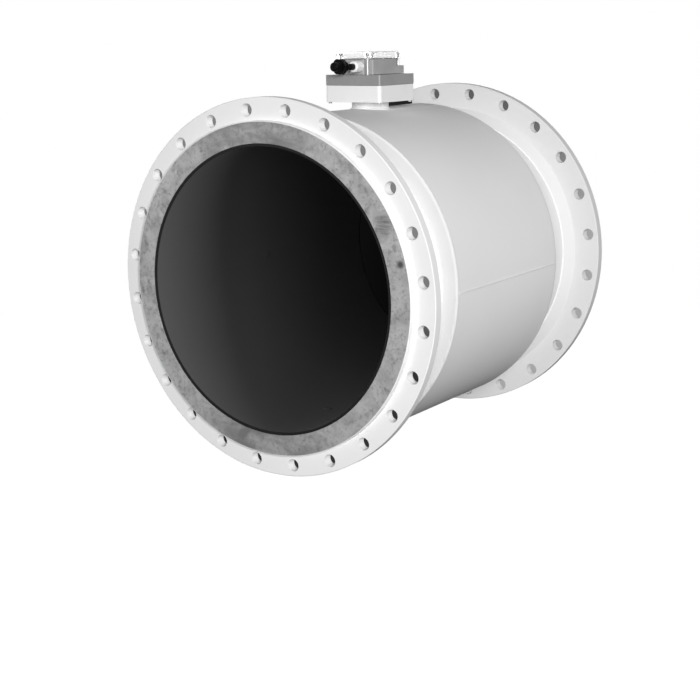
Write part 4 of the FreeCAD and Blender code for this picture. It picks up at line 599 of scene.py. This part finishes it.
def weld_bead(name, radius, station, thick):
    """A ring of puddles round the pipe's axis, at a station along it."""
    count = round(2 * math.pi * radius / PUDDLE)
    clear_selection()
    bpy.ops.mesh.primitive_torus_add(
        major_radius=radius, minor_radius=thick, major_segments=2 * count,
        minor_segments=RING_SIDES, location=(0, station, 0), rotation=(math.pi / 2, 0, 0))
    pick(bpy.context.object, lambda point: point.index // RING_SIDES % 2 == 0)
    bpy.ops.transform.shrink_fatten(value=RING_SWELL * thick)
    bpy.ops.mesh.select_all(action="SELECT")
    bpy.ops.mesh.faces_shade_smooth()
    print(name, count, "puddles")
    return keep(name, "white_paint")


neck_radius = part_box("neck")[1].x
neck_weld = weld_bead("neck_foot_weld", neck_radius + NECK_GAP, 0, NARROW_BEAD)
for point in neck_weld.data.vertices:
    across, along, height = point.co.x, point.co.z, -point.co.y
    point.co = (across, middle.y + along, height + math.sqrt(drum_radius ** 2 - across ** 2))
print("neck weld from", round(min(point.co.z for point in neck_weld.data.vertices), 4))

# %% [markdown]
# The end plates are welded to the pipe all the way round, and so are the hubs of the flanges.

# %% Beads round the pipe
tube_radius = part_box("measuring_tube")[1].z
for name, station, thick in (("inlet_plate_weld", plate_low.y, WIDE_BEAD),
                             ("outlet_plate_weld", far_plate_high.y, WIDE_BEAD),
                             ("inlet_hub_weld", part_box("inlet_flange")[1].y, NARROW_BEAD),
                             ("outlet_hub_weld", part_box("outlet_flange")[0].y, NARROW_BEAD)):
    weld_bead(name, tube_radius, station, thick)

# %% [markdown]
# Under the clear lid lie the display and its board. They are full of things that repeat: bars of
# digits, legs of chips, screws. Each is modelled once, and then copied to its places and joined.

# %% Helper: copies at their places
def set_out(piece, places):
    """Copies a piece to (x, y, z, turn) places, each copy with its own mesh, and joins them."""
    bpy.ops.object.mode_set(mode="OBJECT")
    row = [piece]
    for _ in places[1:]:
        twin = piece.copy()
        twin.data = piece.data.copy()
        bpy.context.collection.objects.link(twin)
        row.append(twin)
    clear_selection()
    for twin, (x, y, z, turned) in zip(row, places):
        twin.location = (x, y, z)
        twin.rotation_euler.z = turned
        twin.select_set(True)
    bpy.context.view_layer.objects.active = piece
    bpy.ops.object.transform_apply(location=True, rotation=True, scale=True)
    if len(row) > 1:
        bpy.ops.object.join()


# %% [markdown]
# The display shows six plain seven-part digits, all zero, as a meter does that has just been
# switched on. A bar is a flat bar with pointed ends: a six-sided disc, pulled long, with thickness.

# %% Digits of the display
INK = 0.1 * MM
BAR_LENGTH, BAR_WIDTH = 5.6 * MM, 1.3 * MM
DIGIT_PITCH, DIGIT_COUNT = 9.0 * MM, 6
screen_low, screen_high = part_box("display_module")
screen_middle = (screen_low + screen_high) / 2
clear_selection()
bpy.ops.mesh.primitive_circle_add(vertices=6, radius=BAR_WIDTH / 2, fill_type="NGON")
bar = bpy.context.object
for end in (-1, 1):
    pick(bar, lambda point: end * point.co.y > 0)
    bpy.ops.transform.translate(value=(0, end * (BAR_LENGTH - BAR_WIDTH) / 2, 0))
bpy.ops.mesh.select_all(action="SELECT")
bpy.ops.mesh.extrude_region_move(TRANSFORM_OT_translate={"value": (0, 0, INK)})
bpy.ops.mesh.select_all(action="SELECT")
bpy.ops.mesh.normals_make_consistent(inside=False)
half, across = BAR_LENGTH / 2, math.pi / 2
zero = [(-half, -half, 0), (-half, half, 0), (half, -half, 0), (half, half, 0),
        (0, -BAR_LENGTH, across), (0, BAR_LENGTH, across)]
set_out(bar, [(screen_middle.x + (digit - (DIGIT_COUNT - 1) / 2) * DIGIT_PITCH + x,
               screen_middle.y + y, screen_high.z, turned)
              for digit in range(DIGIT_COUNT) for x, y, turned in zero])
keep("display_digits", "lcd_ink")
print(DIGIT_COUNT, "digits of", len(zero), "bars")

# %% [markdown]
# The strips of the board beside the display carry parts, each of its real size and standing on the
# board. In front is a row of chips with two rows of legs. They are small blocks with broken edges.

# %% Chips and their legs
board_low, board_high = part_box("main_board")
board_x, board_top = (board_low.x + board_high.x) / 2, board_high.z
FRONT_ROW = board_low.y + 6.5 * MM
CHIP_X = (-26 * MM, -9 * MM, 10 * MM)
LEGS_A_SIDE, LEG_PITCH, LEG_OUT = 5, 1.8 * MM, 3.0 * MM


def small_block(size, edge):
    """A block with broken edges, standing on the origin."""
    clear_selection()
    bpy.ops.mesh.primitive_cube_add(size=1, location=(0, 0, size[2] / 2))
    block = bpy.context.object
    block.scale = size
    bpy.ops.object.transform_apply(location=True, rotation=False, scale=True)
    bpy.ops.object.mode_set(mode="EDIT")
    bpy.ops.mesh.bevel(offset=edge, segments=2, affect="EDGES")
    return block


chip = small_block((9 * MM, 5 * MM, 1.6 * MM), 0.3 * MM)
set_out(chip, [(board_x + x, FRONT_ROW, board_top, 0) for x in CHIP_X])
keep("board_chips", "black_plastic")
leg = small_block((0.7 * MM, 1.4 * MM, 0.5 * MM), 0.1 * MM)
set_out(leg, [(board_x + x + (step - LEGS_A_SIDE // 2) * LEG_PITCH, FRONT_ROW + side * LEG_OUT,
               board_top, 0)
              for x in CHIP_X for step in range(LEGS_A_SIDE) for side in (-1, 1)])
keep("board_chip_legs", "bright_metal")
print(len(CHIP_X), "chips stand at", round(board_top, 4))

# %% [markdown]
# Behind the display stand capacitors, which are cans in black sleeves with a pressed-in top. A can
# is a cylinder whose top face is bevelled all round, inset, and pushed down a little.

# %% Capacitors
REAR_ROW = board_high.y - 6.5 * MM
CAN_X = (-28 * MM, -19 * MM, 25 * MM)


def turned_block(radius, height, sides):
    """A short round bar standing on the origin, with its top face picked in edit mode."""
    clear_selection()
    bpy.ops.mesh.primitive_cylinder_add(vertices=sides, radius=radius, depth=height,
                                        location=(0, 0, height / 2))
    bpy.ops.object.transform_apply(location=True, rotation=False, scale=False)
    pick_top(bpy.context.object)
    return bpy.context.object


def pick_top(piece):
    pick(piece, lambda face: face.normal.z > 0.99, "FACE")


def press_in(border, depth):
    """Pushes the picked face down, inside a border."""
    bpy.ops.mesh.inset(thickness=border)
    bpy.ops.mesh.extrude_region_move(TRANSFORM_OT_translate={"value": (0, 0, -depth)})


can = turned_block(3.2 * MM, 7 * MM, 28)
bpy.ops.mesh.bevel(offset=0.4 * MM, segments=3, affect="EDGES")
pick_top(can)
press_in(border=0.4 * MM, depth=0.3 * MM)
set_out(can, [(board_x + x, REAR_ROW, board_top, 0) for x in CAN_X])
keep("board_capacitors", "lead_jacket")
print(len(CAN_X), "capacitors")

# %% [markdown]
# Between the capacitors sits the socket for the ribbon cable, and a screw in each corner holds the
# board. The socket's slot and the hexagon's place in a screw's head are pushed in the same way.

# %% Socket and screws of the board
SOCKET_X, SCREW_INSET = 3 * MM, 6 * MM
socket = small_block((22 * MM, 6.4 * MM, 8 * MM), 0.4 * MM)
pick_top(socket)
press_in(border=1.0 * MM, depth=6 * MM)
set_out(socket, [(board_x + SOCKET_X, REAR_ROW, board_top, 0)])
keep("board_socket", "light_plastic")
head = turned_block(2.7 * MM, 2 * MM, 24)
press_in(border=1.3 * MM, depth=1.2 * MM)
corners = [(x, y, board_top, 0)
           for x in (board_low.x + SCREW_INSET, board_high.x - SCREW_INSET)
           for y in (board_low.y + SCREW_INSET, board_high.y - SCREW_INSET)]
set_out(head, corners)
keep("board_screws", "bright_metal")
print("socket and", len(corners), "screws")

# %% [markdown]
# The floor is white paper. Seen straight on it has to vanish into the white of the background, and
# still keep the meter's shadow. So the camera sees a strong white glow plus a little of the real
# light, and only where the meter takes that light away does the paper turn pale grey. Further out
# the paper fades into plain white. To all other rays it is a dark floor, so that it doesn't throw
# light up under the drum.

# %% Paper floor
FLOOR_SIZE = 14.0
SHADOW_REACH = (1.0, 2.2)
PAPER_GLOW = 0.88


def mix_shaders(tree, factor, first, second):
    node = place(tree, "ShaderNodeMixShader")
    join(tree, (factor, node.inputs[0]), (first, node.inputs[1]), (second, node.inputs[2]))
    return node.outputs[0]


tree, shader = new_material("paper_floor")
tree.nodes.remove(shader)
plain = place(tree, "ShaderNodeEmission")
glow = place(tree, "ShaderNodeEmission")
glow.inputs["Strength"].default_value = PAPER_GLOW
catcher = place(tree, "ShaderNodeBsdfDiffuse")
catcher.inputs["Color"].default_value = grey(0.5)
both = place(tree, "ShaderNodeAddShader")
dim = place(tree, "ShaderNodeBsdfDiffuse")
dim.inputs["Color"].default_value = grey(0.03)
rays = place(tree, "ShaderNodeLightPath").outputs
distance = place(tree, "ShaderNodeVectorMath", operation="LENGTH")
join(tree,
     (glow.outputs[0], both.inputs[0]), (catcher.outputs[0], both.inputs[1]),
     (object_place(tree), distance.inputs[0]))
far_out = soft_step(tree, distance.outputs["Value"], *SHADOW_REACH)
seen = mix_shaders(tree, far_out, both.outputs[0], plain.outputs[0])
shown = in_pairs(tree, "MAXIMUM", rays["Is Camera Ray"], rays["Is Transmission Ray"])
join(tree, (mix_shaders(tree, shown, dim.outputs[0], seen),
            tree.nodes["Material Output"].inputs["Surface"]))

clear_selection()
bpy.ops.mesh.primitive_plane_add(size=FLOOR_SIZE, location=(0, middle.y, floor_level))
floor = bpy.context.object
floor.name = "floor"
floor.data.materials.append(finishes["paper_floor"])
print("floor", FLOOR_SIZE, "m wide")

# %% [markdown]
# Behind the outlet, behind the bolt holes and in the slot under the transmitter hang cards of
# painted
# shade: each glows with a set grey that stands in for the shade of a hollow, so that the hollow
# doesn't show the white of the room. Each has one side only:
# seen from behind, the shader's Backfacing value makes it clear, so the view from the other end
# stays open. A card is no lit thing but a set tone, which fades along one axis from grey to grey.
# Only the camera sees the cards of the holes and the slot, so that they throw no shadow. The card
# of the bore also keeps the white of the room out of the lining.

# %% Helper: the tone of a card
def card_finish(name, axis, limits, tones, for_camera=True):
    """A one-sided, softly fading tone of painted shade: limits are places on the axis, tones the
    greys there.
    """
    tree, shader = new_material(name)
    tree.nodes.remove(shader)
    shine = place(tree, "ShaderNodeEmission")
    clear = place(tree, "ShaderNodeBsdfTransparent").outputs[0]
    side = place(tree, "ShaderNodeNewGeometry")
    tone = soft_step(tree, place_along(tree, axis), *limits, *tones)
    join(tree, (tone, shine.inputs["Color"]))
    seen = mix_shaders(tree, side.outputs["Backfacing"], shine.outputs[0], clear)
    if for_camera:
        rays = place(tree, "ShaderNodeLightPath")
        seen = mix_shaders(tree, rays.outputs["Is Camera Ray"], clear, seen)
    join(tree, (seen, tree.nodes["Material Output"].inputs["Surface"]))
    return finishes[name]


# %% [markdown]
# The card of the bore is a disc that hangs just past the outlet. The bolt holes of each flange
# share one, a disc with a wide hole, so that only the belt behind the holes is left.

# %% Cards behind the bore and the bolt holes
CARD_GAP = 1 * MM
FLANGE_PLATE = 24 * MM
HOLE_BELT = (0.438, 0.402)
BORE_CARD_SHARE = 0.86


def hang_card(material, name, station, outer, inner=None):
    """A round card facing the inlet side, with a round hole if an inner radius is given."""
    clear_selection()
    bpy.ops.mesh.primitive_circle_add(vertices=96, fill_type="NGON", radius=outer,
                                      location=(0, station, 0), rotation=(math.pi / 2, 0, 0))
    bpy.ops.object.transform_apply(location=True, rotation=True)
    card = bpy.context.object
    if inner:
        bpy.ops.object.mode_set(mode="EDIT")
        bpy.ops.mesh.inset(thickness=outer - inner)
        bpy.ops.mesh.delete(type="FACE")
        bpy.ops.object.mode_set(mode="OBJECT")
    card.name = name
    card.data.materials.append(material)
    print(name, len(card.data.polygons), "faces")


outlet_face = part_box("outlet_flange")[1].y
# Each card glows with a set grey: painted shade for the hollow behind it.
hang_card(card_finish("bore_tone", "X", (-0.34, -0.24), (0.004, 0.003), for_camera=False),
          "bore_card", cad_box[1].y + CARD_GAP, BORE_CARD_SHARE * drum_radius)
hang_card(card_finish("inlet_hole_tone", "Z", (-0.17, 0.12), (0.032, 0.22)),
          "inlet_hole_card", FLANGE_PLATE + CARD_GAP, *HOLE_BELT)
hang_card(card_finish("outlet_hole_tone", "Z", (0.02, 0.44), (0.38, 0.11)),
          "outlet_hole_card", outlet_face + CARD_GAP, *HOLE_BELT)

# %% [markdown]
# The slot between the transmitter and the drum is darkened by the card at its far end, which is
# painted shade. The card's lower right corner is raised, so that it doesn't cover the flange
# behind.

# %% Card in the slot under the transmitter
SLOT_INSET, SLOT_DEPTH, SLOT_RISE = 5 * MM, 26 * MM, 17 * MM
base_low, base_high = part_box("transmitter_base")
slot_middle = Vector((middle.x, base_high.y - SLOT_INSET, base_low.z - SLOT_DEPTH / 2))
clear_selection()
bpy.ops.mesh.primitive_plane_add(size=1, rotation=(math.pi / 2, 0, 0), location=slot_middle)
slot_card = bpy.context.object
slot_card.scale = (base_high.x - base_low.x - 2 * SLOT_INSET, SLOT_DEPTH, 1)
bpy.ops.object.transform_apply(location=True, rotation=True, scale=True)
pick(slot_card, lambda point: point.co.x > slot_middle.x and point.co.z < slot_middle.z)
bpy.ops.transform.translate(value=(0, 0, SLOT_RISE))
bpy.ops.object.mode_set(mode="OBJECT")
slot_card.name = "slot_card"
slot_card.data.materials.append(card_finish("slot_tone", "Z", (0.40, 0.41), (0.03, 0.015)))
print("slot card below", round(base_low.z, 4))

# %% [markdown]
# Light. One large soft box stands far off beside the camera, a little higher, and models the
# flanges and the drum evenly. Two weaker ones stand behind and to the left, for whoever walks round
# the meter. The lining has three soft boxes of its own, which shade it from a grey left side to a
# black right one, as the bore of such a pipe looks from here.

# %% Lamps
AIM = Vector((0, 0.43, 0))


def soft_box(name, azimuth, elevation, distance, size, strength):
    """A square area lamp; azimuth counts from the inlet side towards +X, both in degrees."""
    a, e = math.radians(azimuth), math.radians(elevation)
    way = Vector((math.sin(a) * math.cos(e), -math.cos(a) * math.cos(e), math.sin(e)))
    clear_selection()
    bpy.ops.object.light_add(type="AREA", location=AIM + distance * way)
    lamp = bpy.context.object
    lamp.name = name
    lamp.data.size = size
    lamp.data.energy = strength * math.pi ** 2 * distance ** 2
    lamp.rotation_euler = (-way).to_track_quat("-Z", "Y").to_euler()
    return lamp


meter_lamps = [
    soft_box("main_soft_box", azimuth=40, elevation=12, distance=10.0, size=3.5, strength=1.24),
    soft_box("back_soft_box", azimuth=195, elevation=5, distance=4.2, size=2.0, strength=0.4),
    soft_box("left_soft_box", azimuth=262, elevation=2, distance=5.0, size=2.0, strength=0.32)]
lining_lamps = [
    soft_box("bore_side_box", azimuth=75, elevation=0, distance=6.0, size=2.0, strength=0.50),
    soft_box("bore_middle_box", azimuth=50, elevation=0, distance=6.0, size=2.0, strength=0.13),
    soft_box("bore_front_box", azimuth=0, elevation=10, distance=3.0, size=5.0, strength=0.65)]
print(len(meter_lamps), "lamps for the meter and", len(lining_lamps), "for its lining")

# %% [markdown]
# Light linking keeps the two sets apart. A lamp lights only what its collection holds, or all but
# what the collection marks as excluded. The electrodes lie in the lining, so they go with it.

# %% What each lamp lights
lining = bpy.data.collections.new("lining")
all_but_lining = bpy.data.collections.new("all_but_lining")
for name in ("liner", *own_look["wetted_alloy"]):
    lining.objects.link(nodes[name])
    all_but_lining.objects.link(nodes[name])
for member in all_but_lining.collection_objects:
    member.light_linking.link_state = "EXCLUDE"
for lamp in lining_lamps:
    lamp.light_linking.receiver_collection = lining
for lamp in meter_lamps:
    lamp.light_linking.receiver_collection = all_but_lining

# %% [markdown]
# The rest is the even light of a white room. The world shows pure white to the camera, in
# reflections and through the lid, but lights the meter far more gently, so the drum's underside
# falls off.

# %% World
ROOM_LIGHT = 0.035
world = bpy.data.worlds.new("white_room")
bpy.context.scene.world = world
world.use_nodes = True
tree = world.node_tree
room = tree.nodes["Background"]
white = place(tree, "ShaderNodeBackground")
for background in (room, white):
    background.inputs["Color"].default_value = grey(1.0)
room.inputs["Strength"].default_value = ROOM_LIGHT
rays = place(tree, "ShaderNodeLightPath").outputs
shown = in_pairs(tree, "MAXIMUM", rays["Is Camera Ray"], rays["Is Glossy Ray"],
                 rays["Is Transmission Ray"])
join(tree, (mix_shaders(tree, shown, room.outputs[0], white.outputs[0]),
            tree.nodes["World Output"].inputs["Surface"]))
print("room light", ROOM_LIGHT)

# %% [markdown]
# The camera. Its place and turn were found by fitting one pinhole camera to the rims, the ring,
# the bore and the bolt holes of the picture. It stands to the right of the inlet, a little above
# the pipe, with a long lens.

# %% Camera
CAMERA_PLACE = (1.9604, -2.5833, 0.5832)
CAMERA_YAW, CAMERA_PITCH, CAMERA_ROLL = -33.94, -12.66, -0.82
LENS = 72.35
clear_selection()
bpy.ops.object.camera_add()
camera = bpy.context.object
camera.data.lens = LENS
camera.data.clip_end = 100.0
camera.matrix_world = (Matrix.Translation(CAMERA_PLACE)
                       @ Matrix.Rotation(math.radians(-CAMERA_YAW), 4, "Z")
                       @ Matrix.Rotation(math.radians(90 + CAMERA_PITCH), 4, "X")
                       @ Matrix.Rotation(math.radians(CAMERA_ROLL), 4, "Z"))
bpy.context.scene.camera = camera
bpy.context.scene.view_settings.view_transform = "Standard"
print("camera", round((Vector(CAMERA_PLACE) - middle).length, 2), "m from the meter's middle")
